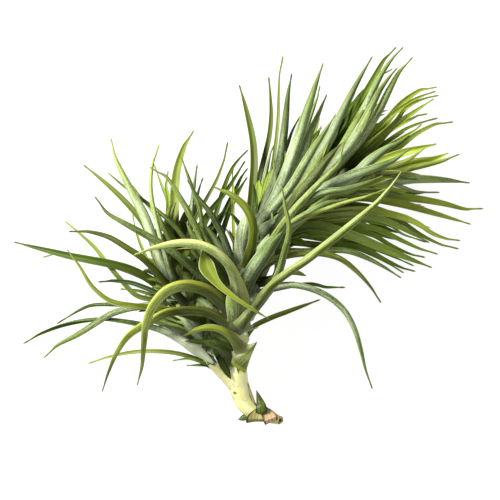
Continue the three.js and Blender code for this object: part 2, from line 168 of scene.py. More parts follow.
# Living leaf: a waxy green skin under a scurf of silver scales, thick on the outer face and thin
# in the groove. Fine veins run along it, its rim is paler, its clasping base is bleached, and
# its tip is bare green and dries to straw.
leafFinishes = {
    "silver": {"lip": "#b6c25a", "skin": "#607c20", "skinDark": "#2c460a", "groove": "#6c861c",
               "scurf": "#c8d8ae", "rim": "#cad8a0", "sheath": "#c2cfa9", "bareTip": 0.55,
               "rimShare": 0.65, "roughness": 0.6},
    "green": {"lip": "#a6b23c", "skin": "#60741e", "skinDark": "#304410", "groove": "#668028",
              "scurf": "#9cb07e", "rim": "#a6b450", "sheath": "#aebd8a", "bareTip": 0.7,
              "rimShare": 0.65, "roughness": 0.55},
    # the dark kind: leaves deep among the others, their skin partly their own dark green and partly painted
    # shade
    "dark": {"lip": "#78902c", "skin": "#465e1a", "skinDark": "#1e3006", "groove": "#4a661a",
             "scurf": "#7e9260", "rim": "#7a903c", "sheath": "#dce4c0", "bareTip": 0.7, "rimShare": 0.65,
             "roughness": 0.5},
    "olive": {"lip": "#a8b04a", "skin": "#728026", "skinDark": "#3e4c10", "groove": "#788a28",
              "scurf": "#aab67e", "rim": "#b2ba68", "sheath": "#a8b276", "bareTip": 0.7,
              "rimShare": 0.65, "roughness": 0.5},
    "bright": {"lip": "#c6c850", "skin": "#87992a", "skinDark": "#566a14", "groove": "#72841c",
               "scurf": "#b2c086", "rim": "#d8e09a", "sheath": "#ccd08c", "bareTip": 0.8,
               "rimShare": 0.75, "roughness": 0.5},
    "pale": {"lip": "#d6dfb4", "skin": "#98aa60", "skinDark": "#60782a", "groove": "#8fa448",
             "scurf": "#d6e0be", "rim": "#dce4bc", "sheath": "#ccd6a4", "bareTip": 0.8, "rimShare": 0.6,
             "roughness": 0.6},
    "sheath": {"lip": "#dbe3b6", "skin": "#93a24c", "skinDark": "#5d7022", "groove": "#93a24c",
               "scurf": "#c0cc94", "rim": "#cdd79c", "sheath": "#9fa838", "bareTip": 0.7,
               "rimShare": 0.6, "roughness": 0.6},
}
leafGrain = {
    "veins": (0.42, 9.0),       # mm between the lengthwise veins, mm before one wanders
    "scurf": (0.33, 1.0),       # mm, a silver scale drawn about twice its size, so that it shows
    "patches": (3.5, 16.0),     # mm, where the scurf is rubbed thin and the green is uneven
    "noise": {"Detail": 2.5, "Roughness": 0.6},
    "skinVeins": (0.32, 0.7), "grooveVeins": (0.3, 0.66),       # noise from the dark to the light green
    "sun": (0.9, 0.25),         # how far the patches decide where a leaf is yellowed, and the least
    "faces": (-0.25, 0.25),     # from the inner face to the outer one, round the rim
    "mottle": (1.5, 2.1, 1.1), "mottleFrom": -2.8,      # breaking up of the scurf by the three above
    "scurfGain": 1.7,           # scurf gained with a leaf's own share of it
    "rimScurf": (0.45, 0.95, 1.0, 0.45),    # from the middle to the rim, and its share there
    "tipWander": 0.3, "tipFade": 0.45, "tipScurf": 0.2,     # how raggedly it ends, and what is left
    "grooveScurf": 0.3,         # scurf of the inner face against the outer
    "rim": (0.82, 0.96),        # the pale margin, in half widths
    "lipBand": (0.05, 0.4),     # the sunned lip, in half widths
    "lipYellow": (0.0, 0.3),    # a leaf's yellow share that makes it yellow
    "paintedShadeBelowLip": (-0.1, 0.2, 0.32, 0.0),     # where the face is darkened below it with painted shade, and how much
    "lipFlecks": (0.6, 0.68), "baseFlecks": (0.6, 0.66),        # noise, above which a brown fleck shows
    "baseWander": -0.12, "baseStart": 0.06,     # how raggedly the pale base ends, and its start
    "base": (0.3, 1.0, 0.85, 0.0),          # in lengths of the pale base, and its share there
    "dryFrom": 0.985, "dryEarlier": -0.05,  # share of the length where the tip dries, or sooner
    "dryTip": (0.0, 0.025, 0.0, 0.6),       # shares of the length past that, and of straw
    "clouds": (0.7, 0.66),      # uneven lightness, and the least
    "bump": 0.12, "bumpStrength": 0.35,     # mm, height of the veins
    "veinHeight": 0.6, "scurfHeight": 0.4,
    "scurfRough": 0.25, "waxSmooth": 0.1,   # the scurf is rougher than its leaf, and bare wax smoother
    "paintedBaseGlow": 0.42,           # painted glow: emission that makes the thin pale base shine, lifting it out of its shade
    "paintedRootToTip": (0.0, 0.7, 0.36, 1.25),    # lightness of the blade near its root and further out: painted shade at the root, deep in the shoot, and painted light towards the tip
    "gloss": {"IOR": 1.4, "Specular IOR Level": 0.25},      # scurf breaks up the wax's gloss
}
leafStains = {"yellowed": "#a2ac42",    # the green of a leaf that has had much sun
              "blush": "#f2dcc4", "fleck": "#6d5a4c", "straw": "#7f7a45", "lipFleck": "#6a5c1c"}
goldenShare = 0.618     # turns each leaf's seed into a share of its own


def hexColours(finish):
    return {name: linear(value) for name, value in finish.items() if isinstance(value, str)}


def leafMaterial(kind, finish):
    material, tree, shader, node = newMaterial(f"{kind}LeafSkin")
    own, stain, plan = hexColours(finish), hexColours(leafStains), leafGrain
    place, spot, toneSpot, trimSpot = [node(attribute, out="Vector", attribute_name=name) for name in
                                       ("bladeMm", "bladeSpot", "bladeTone", "bladeTrim")]
    across, share, skinSide = node(split, (spot,), out=None)
    scurfShare, yellow, light = node(split, (toneSpot,), out=None)
    lip, paleBase, blush = node(split, (trimSpot,), out=None)
    seed = node(split, (place,), out=2)
    fromMiddle = node(maths, (across,), **unsigned)
    veins, grain, patches = [alongBlade(node, place, plan[name], plan["noise"])
                             for name in ("veins", "scurf", "patches")]

    # green skin: darker between its veins, yellowed in patches, on the outer face and in the groove
    sun = node(maths, (patches, *plan["sun"]), **timesPlus)
    sun = node(maths, (yellow, sun), **times, use_clamp=True)
    faces = []
    for dark, green, span in (("skinDark", "skin", "skinVeins"), ("skin", "groove", "grooveVeins")):
        streaks = node(ramp, (veins, *plan[span]), **soft)
        face = node(mix, {0: streaks, 6: own[dark], 7: own[green]}, **colours)
        faces.append(node(mix, {0: sun, 6: face, 7: stain["yellowed"]}, **colours))

    # the scurf: mottled by its scales, thin over the veins, rubbed off in patches and on the rims
    mottle = plan["mottleFrom"]
    for noise, strength in zip((veins, grain, patches), plan["mottle"]):
        mottle = node(maths, (noise, strength, mottle), **timesPlus)
    scurf = node(maths, (scurfShare, plan["scurfGain"], mottle), **timesPlus, use_clamp=True)
    tipward = node(maths, (patches, plan["tipWander"], share), **timesPlus)
    bareTip = (finish["bareTip"], finish["bareTip"] + plan["tipFade"], 1.0, plan["tipScurf"])
    for where, span in ((fromMiddle, plan["rimScurf"]), (tipward, bareTip)):
        scurf = node(maths, (scurf, node(ramp, (where, *span), **soft)), **times)
    little = node(maths, (scurf, plan["grooveScurf"]), **times)
    outside = node(mix, {0: scurf, 6: faces[0], 7: own["scurf"]}, **colours)
    inside = node(mix, {0: little, 6: faces[1], 7: own["scurf"]}, **colours)
    outer = node(ramp, (skinSide, *plan["faces"]), **soft)
    colour = node(mix, {0: outer, 6: inside, 7: outside}, **colours)

    # a leaf bent towards the light shows its sunned lip as a broad yellow band, flecked with brown,
    # and the face below the band is darkened with painted shade
    lipSide = node(maths, (across, node(maths, (lip,), operation="SIGN")), **times)
    lipShare = node(maths, (lip,), **unsigned)
    band = node(maths, (node(ramp, (lipSide, *plan["lipBand"]), **soft), lipShare), **times)
    yellowed = node(ramp, (yellow, *plan["lipYellow"]))
    sunned = node(mix, {0: yellowed, 6: own["rim"], 7: own["lip"]}, **colours)
    # painted shade on the face below the lip
    below = node(ramp, (lipSide, *plan["paintedShadeBelowLip"]), **soft)
    below = node(maths, (1.0, node(maths, (below, lipShare), **times)), **minus)

    # the bleached base, with its blush, and the last stretch, which dries to straw, on some
    # leaves further than on others
    rootward = node(maths, (grain, plan["baseWander"], share), **timesPlus)
    rootward = node(maths, (node(maths, (rootward, plan["baseStart"]), **plus), paleBase), **dividedBy)
    base = node(ramp, (rootward, *plan["base"]), **soft)
    blushed = node(maths, (base, blush), **times)
    dryness = node(maths, (node(maths, (seed, goldenShare), **times),), operation="FRACT")
    dryFrom = node(maths, (dryness, plan["dryEarlier"], plan["dryFrom"]), **timesPlus)
    dry = node(ramp, (node(maths, (share, dryFrom), **minus), *plan["dryTip"]))
    edge = node(ramp, (fromMiddle, *plan["rim"], 0.0, finish["rimShare"]), **soft)
    lipFlecks, baseFlecks = [node(maths, (where, node(ramp, (grain, *plan[span]), **soft)), **times)
                             for where, span in ((band, "lipFlecks"), (blushed, "baseFlecks"))]
    for cover, paint in ((edge, own["rim"]), (band, sunned), (lipFlecks, stain["lipFleck"]),
                         (base, own["sheath"]), (blushed, stain["blush"]), (baseFlecks, stain["fleck"]),
                         (dry, stain["straw"])):
        colour = node(mix, {0: cover, 6: colour, 7: paint}, **colours)

    # painted shade near the root and painted light towards the tip, left off the pale base
    paintedRootShadeTipLight = node(ramp, (share, *plan["paintedRootToTip"]), **soft)
    shade = light
    for part in (node(maths, (patches, *plan["clouds"]), **timesPlus), below,
                 node(maths, (paintedRootShadeTipLight, base), operation="MAXIMUM")):
        shade = node(maths, (shade, part), **times)
    toned = node(vectorMaths, {0: colour, "Scale": shade}, operation="SCALE")
    scales = node(maths, (grain, plan["scurfHeight"]), **times)
    height = node(maths, (veins, plan["veinHeight"], scales), **timesPlus)
    # the pale base glows by emission, a painted glow, though it is no lamp
    feed(tree, shader, {
        "Base Color": toned, "Emission Color": toned,
        "Emission Strength": node(maths, (base, plan["paintedBaseGlow"]), **times),
        "Roughness": node(maths, (scurf, plan["scurfRough"], finish["roughness"] - plan["waxSmooth"]),
                          **timesPlus),
        "Normal": node(bumpNode, {"Strength": plan["bumpStrength"], "Distance": plan["bump"] * mm,
                                  "Height": height}),
        **plan["gloss"]})
    return material


# Fleshy stem: smooth pale skin with yellow-green streaks along it, a pink blush on its sunny
# side, fine scars where leaves came off, and a woody brown foot
stemFinish = {
    "pale": "#fffcc0", "streak": "#ecec82", "blush": "#fff2e2", "scar": "#b49a52", "foot": "#c8b878",
    "wound": "#8a6a34", "roughness": 0.5, "gloss": 0.3,
    "flesh": 0.6, "depth": 2.5,         # share of the light that enters the flesh, and how far, mm
    "fleshTint": (1.0, 0.85, 0.4),
    "glow": 0.22,               # painted glow: emission that lightens the whole stem, its shaded side too
    "streaks": (1.1, 9.0),      # mm across and along a streak
    "blotches": 3.5, "pores": 0.7,      # mm
    "streakShare": (0.42, 0.66, 0.0, 0.75), "poreShare": (0.66, 0.74, 0.0, 0.4),    # from and to
    "scars": 7.0,               # mm from one leaf scar to the next
    "scarSlope": -0.5, "scarWander": 5.0, "scarShare": (0.0, 0.2, 0.7, 0.0), "scarDepth": -1.6,
    "footWander": 0.06, "footShare": (0.05, 0.1, 0.7, 0.0),     # of the stem's length
    "spots": {"wound": (1.3, (-6.0, -57.1, 10.6)),      # radius, and mm from the picture's middle
              "blush": (2.4, (-7.2, -54.0, 9.5))},
    "spotFade": (0.9, 1.5),     # radii
    "bump": 0.25, "bumpStrength": 0.4,      # mm
}
pictureOrigin = Vector((0.5, -5.685, -0.321))   # mm, where the picture's middle lies in the frame
upward = Vector((0, 0, 1))


def stemMaterial(finish):
    material, tree, shader, node = newMaterial("paleStemSkin")
    own = hexColours(finish)
    place = node(attribute, out="Vector", attribute_name="bladeMm")
    across, along = node(split, (place,), out=None)[:2]
    share = node(split, (node(attribute, out="Vector", attribute_name="bladeSpot"),), out=1)
    body = node("ShaderNodeTexCoord", out="Object")
    streaks = alongBlade(node, place, finish["streaks"], {"Detail": 3.0})
    blotch, pores = [node(noiseTexture, {"Vector": body, "Scale": 1 / (finish[name] * mm), "Detail": 3.0})
                     for name in ("blotches", "pores")]
    near = {}
    for name, (reach, spot) in finish["spots"].items():
        far = node(vectorMaths, (body, tuple((Vector(spot) + pictureOrigin) * mm)), out="Value",
                   operation="DISTANCE")
        ragged = node(maths, (blotch, reach * mm, far), **timesPlus)
        fade = [reach * radii * mm for radii in finish["spotFade"]]
        near[name] = node(ramp, (ragged, *fade, 1.0, 0.0), **soft)
    # a scar runs round the stem as a shallow V, lowest in the middle of the leaf it carried
    vee = node(maths, (node(maths, (across,), **unsigned), finish["scarSlope"], along), **timesPlus)
    wavy = node(maths, (blotch, finish["scarWander"], vee), **timesPlus)
    ring = node(maths, (wavy, finish["scars"] / 2), operation="PINGPONG")
    scar = node(ramp, (ring, *finish["scarShare"]), **soft)
    footward = node(maths, (blotch, finish["footWander"], share), **timesPlus)
    streaked, pored, brown = [node(ramp, (noise, *finish[span]), **soft) for noise, span in (
        (streaks, "streakShare"), (pores, "poreShare"), (footward, "footShare"))]
    colour = own["pale"]
    for cover, name in ((streaked, "streak"), (near["blush"], "blush"), (scar, "scar"), (pored, "scar"),
                        (near["wound"], "wound"), (brown, "foot")):
        colour = node(mix, {0: cover, 6: colour, 7: own[name]}, **colours)
    height = node(maths, (scar, finish["scarDepth"], pores), **timesPlus)
    # the stem glows by emission, a painted glow
    feed(tree, shader, {
        "Base Color": colour, "Emission Color": colour, "Emission Strength": finish["glow"],
        "Roughness": finish["roughness"], "Specular IOR Level": finish["gloss"],
        "Subsurface Weight": finish["flesh"], "Subsurface Radius": finish["fleshTint"],
        "Subsurface Scale": finish["depth"] * mm,
        "Normal": node(bumpNode, {"Strength": finish["bumpStrength"], "Distance": finish["bump"] * mm,
                                  "Height": height})})
    return material


# Dry bract: thin as paper, straw to brown, with darker fibres along it and a brown margin.
# Green bract: the same while it still lives. Cut wood: pale, with its pith rotted to dark brown.
bractFinishes = {
    "dryBract": {"light": "#f4dcb4", "dark": "#cda878", "margin": "#64441c", "roughness": 0.8},
    "oliveBract": {"light": "#d2ca88", "dark": "#a09440", "margin": "#42320a", "roughness": 0.75},
    "greenBract": {"light": "#6c8420", "dark": "#2c400c", "margin": "#1c2c08", "roughness": 0.5},
    "cutWood": {"light": "#e2e0b4", "dark": "#a9a262", "margin": "#8b8440", "roughness": 0.7},
    "rottenPith": {"light": "#5c5236", "dark": "#2c2616", "margin": "#2c2616", "roughness": 0.9},
}
bractGrain = {
    "fibres": (0.4, 5.0),       # mm across and along a fibre
    "contrast": (0.35, 0.68),   # noise from the dark to the light
    "marginWander": 0.3, "margin": (0.82, 1.02, 0.0, 0.95),     # in half widths, and its share there
    "bump": 0.15, "bumpStrength": 0.5,      # mm
}


def bractMaterial(name, finish):
    material, tree, shader, node = newMaterial(name)
    own = hexColours(finish)
    place = node(attribute, out="Vector", attribute_name="bladeMm")
    across = node(split, (node(attribute, out="Vector", attribute_name="bladeSpot"),), out=0)
    fibre = alongBlade(node, place, bractGrain["fibres"], {"Detail": 4.0})
    fromMiddle = node(maths, (across,), **unsigned)
    outward = node(maths, (fibre, bractGrain["marginWander"], fromMiddle), **timesPlus)
    colour = own["dark"]
    for cover, paint in ((node(ramp, (fibre, *bractGrain["contrast"]), **soft), "light"),
                         (node(ramp, (outward, *bractGrain["margin"]), **soft), "margin")):
        colour = node(mix, {0: cover, 6: colour, 7: own[paint]}, **colours)
    feed(tree, shader, {
        "Base Color": colour, "Roughness": finish["roughness"],
        "Normal": node(bumpNode, {"Strength": bractGrain["bumpStrength"], "Distance": bractGrain["bump"] * mm,
                                  "Height": fibre})})
    return material


leafSkins = {kind: leafMaterial(kind, finish) for kind, finish in leafFinishes.items()}
stemSkin = stemMaterial(stemFinish)
bracts = {name: bractMaterial(name, finish) for name, finish in bractFinishes.items()}
print("materials made:", len(leafSkins) + len(bracts) + 1)


spinePoints = 160       # of a blade's centre line, from its root to its tip
weldDistance = 0.001    # mm


def bladeTree():
    # a closed skin swept along each spine, whose points carry its side and outward directions,
    # half its width, half its thickness, the depth of its groove, its seed, tone and trim
    tree = bpy.data.node_groups.new("sweptBlade", "GeometryNodeTree")
    face = tree.interface
    for name, kind in (("Spines", "Geometry"), ("Rows", "Int"), ("Sides", "Int"), ("Fold", "Float"),
                       ("Ring Height", "Float"), ("Ring Spacing", "Float"), ("Skin", "Material")):
        face.new_socket(name, in_out="INPUT", socket_type="NodeSocket" + kind)
    face.new_socket("Blades", in_out="OUTPUT", socket_type="NodeSocketGeometry")
    given = tree.nodes.new("NodeGroupInput").outputs
    node = partial(addNode, tree)
    store, named = "GeometryNodeStoreNamedAttribute", "GeometryNodeInputNamedAttribute"
    join = "ShaderNodeCombineXYZ"

    curves = node("GeometryNodeMeshToCurve", {"Mesh": given["Spines"]})
    curves = node("GeometryNodeCurveSplineType", {"Curve": curves}, spline_type="CATMULL_ROM")
    curves = node("GeometryNodeResampleCurve", {"Curve": curves, "Count": spinePoints})
    lengths = node("GeometryNodeSplineLength", out="Length")
    curves = node(store, {"Geometry": curves, "Name": "bladeLength", "Value": lengths}, data_type="FLOAT")
    count = node("GeometryNodeAttributeDomainSize", {"Geometry": curves}, out="Spline Count",
                 component="CURVE")

    # a flat sheet, across the blade in X and along it in Y, copied once for each spine
    columns = node(maths, (given["Sides"], 1.0), **plus)
    sheet = node("GeometryNodeMeshGrid", {"Size X": 1.0, "Size Y": 1.0, "Vertices X": columns,
                                          "Vertices Y": given["Rows"]}, out="Mesh")
    corner = node(split, (node("GeometryNodeInputPosition"),), out=None)
    around = node(maths, (corner[0], 2 * math.pi, math.pi), **timesPlus)
    for name, value in (("share", node(maths, (corner[1], 0.5), **plus)),
                        ("across", node(maths, (around,), operation="COSINE")),
                        ("skinSide", node(maths, (around,), operation="SINE"))):
        sheet = node(store, {"Geometry": sheet, "Name": name, "Value": value}, data_type="FLOAT")
    starts = node("GeometryNodeMeshLine", {"Count": count, "Offset": (0, 0, 0)})
    sheets = node("GeometryNodeInstanceOnPoints", {"Points": starts, "Instance": sheet})
    sheets = node(store, {"Geometry": sheets, "Name": "whichSpine", "Value": node("GeometryNodeInputIndex")},
                  data_type="INT", domain="INSTANCE")
    sheets = node("GeometryNodeRealizeInstances", {"Geometry": sheets})

    share, across, skinSide = [node(named, {"Name": name}, data_type="FLOAT")
                               for name in ("share", "across", "skinSide")]
    whichSpine = node(named, {"Name": "whichSpine"}, data_type="INT")
    read = {}
    for name, kind in (("side", "FLOAT_VECTOR"), ("outward", "FLOAT_VECTOR"), ("tone", "FLOAT_VECTOR"),
                       ("trim", "FLOAT_VECTOR"), ("halfWidth", "FLOAT"), ("halfThick", "FLOAT"),
                       ("groove", "FLOAT"), ("seed", "FLOAT"), ("bladeLength", "FLOAT")):
        value = node(named, {"Name": name}, data_type=kind)
        sampled = node("GeometryNodeSampleCurve", {"Curves": curves, "Value": value, "Factor": share,
                                                   "Curve Index": whichSpine},
                       out=None, data_type=kind, mode="FACTOR")
        read[name] = sampled["Value"]
    centre = sampled["Position"]

    along = node(maths, (share, read["bladeLength"]), **times)
    turns = node(maths, (node(maths, (along, 2 * math.pi), **times), given["Ring Spacing"]), **dividedBy)
    swell = node(maths, (node(maths, (turns,), operation="SINE"), given["Ring Height"], 1.0), **timesPlus)
    fold = node(maths, (node(maths, (across,), **unsigned), given["Fold"]), operation="POWER")
    reach = node(maths, (node(maths, (read["halfWidth"], across), **times), swell), **times)
    rise = node(maths, (node(maths, (read["halfThick"], skinSide), **times), swell), **times)
    rise = node(maths, (rise, node(maths, (read["groove"], fold), **times)), **minus)
    point = centre
    for name, far in (("side", reach), ("outward", rise)):
        step = node(vectorMaths, {0: read[name], "Scale": far}, operation="SCALE")
        point = node(vectorMaths, (point, step), **plus)
    inMm = (node(maths, (reach, mm), **dividedBy), node(maths, (along, mm), **dividedBy))
    shaped = sheets
    for name, value in (("bladeMm", node(join, (*inMm, read["seed"]))),
                        ("bladeSpot", node(join, (across, share, skinSide))),
                        ("bladeTone", read["tone"]), ("bladeTrim", read["trim"])):
        shaped = node(store, {"Geometry": shaped, "Name": name, "Value": value}, data_type="FLOAT_VECTOR")
    shaped = node("GeometryNodeSetPosition", {"Geometry": shaped, "Position": point})
    # the seam along the rim, the tip and the root close here
    shaped = node("GeometryNodeMergeByDistance", {"Geometry": shaped, "Distance": weldDistance * mm})
    shaped = node("GeometryNodeSetShadeSmooth", {"Geometry": shaped})
    shaped = node("GeometryNodeRealizeInstances", {"Geometry": shaped})
    shaped = node("GeometryNodeSetMaterial", {"Geometry": shaped, "Material": given["Skin"]})
    out = tree.nodes.new("NodeGroupOutput")
    tree.links.new(shaped, out.inputs["Blades"])
    return tree


sweptBlade = bladeTree()


def storeVectors(mesh, layers):
    for key, values in layers.items():
        layer = mesh.attributes.new(key, "FLOAT_VECTOR", "POINT")
        layer.data.foreach_set("vector", [c for value in values for c in value])


def growBlades(name, blades, skin, rows=60, sides=16, fold=1.15, ringHeight=0.0, ringSpacing=1.0):
    # each blade: a seed, a tone, a trim, and its stations root first, which are
    # (centre, side, outward, halfWidth, halfThick, groove) in metres
    points, links = [], []
    for each in blades:
        first = len(points)
        points += [(*station, each["seed"], each["tone"], each["trim"]) for station in each["stations"]]
        links += [(i, i + 1) for i in range(first, len(points) - 1)]
    centres, sidesOf, outwards, halfWidths, halfThicks, grooves, seeds, tones, trims = zip(*points)
    spine = bpy.data.meshes.new(name + "Spine")
    spine.from_pydata(centres, links, [])
    storeVectors(spine, {"side": sidesOf, "outward": outwards, "tone": tones, "trim": trims})
    for key, values in (("halfWidth", halfWidths), ("halfThick", halfThicks), ("groove", grooves),
                        ("seed", seeds)):
        spine.attributes.new(key, "FLOAT", "POINT").data.foreach_set("value", values)
    grower = bpy.data.objects.new(name + "Spine", spine)
    scene.collection.objects.link(grower)
    modifier = grower.modifiers.new("sweptBlade", "NODES")
    modifier.node_group = sweptBlade
    sockets = {i.name: i.identifier for i in sweptBlade.interface.items_tree if i.in_out == "INPUT"}
    values = {"Rows": rows, "Sides": sides, "Fold": fold, "Ring Height": ringHeight,
              "Ring Spacing": ringSpacing, "Skin": skin}
    for key, value in values.items():
        modifier[sockets[key]] = value
    graph = bpy.context.evaluated_depsgraph_get()
    mesh = bpy.data.meshes.new_from_object(grower.evaluated_get(graph))
    mesh.name = name
    bpy.data.objects.remove(grower)
    bpy.data.meshes.remove(spine)
    for extra in ("share", "across", "skinSide", "whichSpine"):
        mesh.attributes.remove(mesh.attributes[extra])
    turned = bmesh.new()
    turned.from_mesh(mesh)
    if turned.calc_volume(signed=True) < 0:
        bmesh.ops.reverse_faces(turned, faces=turned.faces)
    turned.to_mesh(mesh)
    turned.free()
    piece = bpy.data.objects.new(name, mesh)
    scene.collection.objects.link(piece)
    return piece


ringWeld = 0.002        # mm, the frame's triangles are joined at their corners below this


def frameRings(name, sides):
    # cross-sections of a lofted node: walk its mesh outward from the tip, ring by ring
    mesh = bmesh.new()
    mesh.from_mesh(cadNodes[name].data)
    bmesh.ops.remove_doubles(mesh, verts=mesh.verts, dist=ringWeld * mm)
    for start in mesh.verts:
        layers, seen = [[start]], {start}
        while layers[-1]:
            step = []
            for vertex in layers[-1]:
                for edge in vertex.link_edges:
                    other = edge.other_vert(vertex)
                    if other not in seen:
                        seen.add(other)
                        step.append(other)
            layers.append(step)
        layers.pop()
        rings = [layer for layer in layers[1:] if len(layer) == sides]
        if len(rings) > 3 and len(rings) >= len(layers) - 2:
            points = [[v.co.copy() for v in layer] for layer in layers]
            mesh.free()
            return points[::-1]
    raise RuntimeError("no rings found in " + name)


def middle(points):
    return sum(points, Vector()) / len(points)


def ahead(points, i):
    # from the point before this one to the point after it
    return points[min(i + 1, len(points) - 1)] - points[max(i - 1, 0)]


def distances(points):
    # how far each point is along the line
    reached = [0.0]
    for a, b in zip(points, points[1:]):
        reached.append(reached[-1] + (b - a).length)
    return reached


def evenPlaces(points, count):
    # the point before each of this many even distances, and the share of the way to the next
    reached = distances(points)
    k = 0
    for i in range(count):
        aim = reached[-1] * i / (count - 1)
        while k < len(points) - 2 and reached[k + 1] < aim:
            k += 1
        yield k, min(1.0, (aim - reached[k]) / (reached[k + 1] - reached[k] or 1.0))


def handed(stations):
    # every blade is swept the same way round, so that all skins face outward
    centres = [station[0] for station in stations]
    for i, station in enumerate(stations):
        if station[1].cross(station[2]).dot(ahead(centres, i)) < 0:
            station[1] = -station[1]
    return stations


def leafStations(name, fleshy=True):
    # (centre, side, outward, halfWidth, halfThick, groove) of each section of a leaf
    rings = frameRings(name, 6)
    stations = []
    side = None
    for ring in rings[:-1]:
        heart = middle(ring)
        if side is None:
            pairs = [(a, b) for a in ring for b in ring]
            left, right = max(pairs, key=lambda pair: (pair[0] - pair[1]).length)
        else:
            left = min(ring, key=lambda p: (p - heart).dot(side))
            right = max(ring, key=lambda p: (p - heart).dot(side))
        inner = [p for p in ring if p is not left and p is not right]
        side = (right - left).normalized()
        inward = (left + right) / 2 - middle(inner)
        inward -= side * inward.dot(side)
        spread = max((a - b).length for a in inner for b in inner)
        half = (right - left).length / 2
        thick = math.sqrt(max(spread ** 2 - half ** 2, (leafFlesh["leastThick"] * mm) ** 2))
        stations.append([middle(inner), side.copy(), -inward.normalized(), half, thick / 2,
                         inward.length * leafFlesh["deeper"]])
    stations.append([rings[-1][0], stations[-1][1].copy(), stations[-1][2].copy(), 0.0, 0.0, 0.0])
    return handed(fleshed(stations) if fleshy else stations)


leafFlesh = {
    "fuller": 1.14,         # the real blade against the frame's straight-sided one, in width
    "deeper": 1.9,          # and in the depth of its groove
    "taper": 4.4, "frameTaper": 2.1,        # how late the blade narrows
    "tipBack": 1.1, "tipHalf": 0.36,        # mm before the tip, and half the blade's width there
    "tipSteps": (4.0, 2.0, 1.0), "tipThin": 0.8,
    "leastThick": 0.3,      # mm
}


def fleshed(stations):
    # the frame's straight-sided leaf with the real one's fuller blade and blunter tip
    for i, station in enumerate(stations[:-1]):
        t = i / (len(stations) - 1)
        later = (1 - t ** leafFlesh["taper"]) / (1 - t ** leafFlesh["frameTaper"])
        station[3] *= leafFlesh["fuller"] * later
        station[5] *= later
    before, tip = stations[-2], stations[-1]
    gap = (tip[0] - before[0]).length
    for back in leafFlesh["tipSteps"]:
        share = 1 - back * leafFlesh["tipBack"] * mm / gap
        if share < 0.1:
            continue
        blunt = leafFlesh["tipHalf"] * mm * min(1.0, 0.7 + 0.3 * back)
        stations.insert(-1, [before[0].lerp(tip[0], share), before[1].copy(), before[2].copy(),
                             max(before[3] * (1 - share), blunt), before[4] * leafFlesh["tipThin"],
                             before[5] * (1 - share)])
    return stations


# how wide a leaf is along its length, against an ordinary one: (share of the length, factor)
leafSwells = {
    "left_bright_leaf_5": ((0, 0.8), (0.36, 1.15), (0.5, 1.1), (0.62, 0.62), (0.74, 0.42), (1, 0.5)),
    "left_dark_leaf_1": ((0, 0.2), (0.05, 0.7), (0.12, 1.2), (0.25, 1.1), (0.4, 1), (1, 1)),
    "left_bright_leaf_4": ((0, 1.9), (0.1, 2.1), (0.22, 1.7), (0.36, 1), (1, 1)),
    "foot_bright_leaf_1": ((0, 1.5), (0.08, 1.7), (0.2, 1.25), (0.3, 1), (1, 1)),
    "left_silver_leaf_2": ((0, 1.2), (0.5, 1.2), (0.7, 1), (1, 1)),
}
plainSwell = ((0, 1), (1, 1))


def swollen(stations, swell):
    reached = distances([station[0] for station in stations])
    for station, far in zip(stations, reached):
        t = far / reached[-1]
        (t0, f0), (t1, f1) = next(pair for pair in zip(swell, swell[1:]) if t <= pair[1][0] + 1e-6)
        factor = f0 + (f1 - f0) * (t - t0) / (t1 - t0)
        station[3] *= factor
        station[5] *= factor
    return stations


stemPoints = []
stemFaces = []
for stemName in ("main_stem", "side_shoot_stem"):
    stemMesh = cadNodes[stemName].data
    start = len(stemPoints)
    stemPoints += [v.co.copy() for v in stemMesh.vertices]
    stemFaces += [[start + i for i in face.vertices] for face in stemMesh.polygons]
stemTree = BVHTree.FromPolygons(stemPoints, stemFaces)

rooting = {
    "back": 7.0,        # mm, how far down the shoot a leaf's base reaches past its root
    "sunk": 0.4,        # mm, how deep its end sits in the stem's skin
    "bend": 0.45,       # where the base turns from the leaf to the stem
    "flare": 1.55,      # the clasping base against the blade, in width
    "cup": 0.55,        # depth of the clasping base, against half its width
    "thin": 0.5,        # thickness of the base's end, against the blade
    "sections": (0.0, 0.3, 0.65),       # shares of the way from the stem to the leaf
}


def rooted(stations):
    # the clasping base: from the leaf's root on to the stem's skin, a little further down
    root, half, thick, groove = stations[0][0], *stations[0][3:]
    along = (stations[1][0] - root).normalized()
    spot, normal = stemTree.find_nearest(root - along * rooting["back"] * mm)[:2]
    spot = spot - normal * rooting["sunk"] * mm
    bend = root - along * (root - spot).length * rooting["bend"]
    made = []
    for t in rooting["sections"]:
        centre = spot * (1 - t) ** 2 + bend * 2 * t * (1 - t) + root * t ** 2
        wide = half * (1 + (rooting["flare"] - 1) * math.sin(math.pi * min(1.0, 0.25 + t)))
        made.append([centre, stations[0][1].copy(), stations[0][2].copy(), wide,
                     thick * (rooting["thin"] + t * 0.5), wide * rooting["cup"] * (1 - t) + groove * t])
    made[0][4] = 0.0
    return handed(made + stations)


def riding(piece):
    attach(piece, "root")
    return piece


slotOf = {"silver": "silver_leaf", "green": "green_leaf", "dark": "dark_leaf", "olive": "olive_leaf",
          "bright": "bright_leaf", "pale": "silver_leaf"}

fanPaintedLight = {"green": 1.5, "olive": 1.5, "dark": 1.35}     # painted light: those in the right shoot's fan are lightened against the shade that the shoot casts on them
# tone of a leaf: share of silver scurf, share of yellow in the green, lightness, which is partly its own tone
# and partly painted light and shade
kindTones = {"silver": (0.75, 0.15, 0.95), "green": (0.45, 0.3, 1.1), "dark": (0.35, 0.1, 1.05),
             "olive": (0.4, 0.35, 1.1), "bright": (0.4, 0.3, 1.05), "pale": (0.8, 0.1, 1.0)}
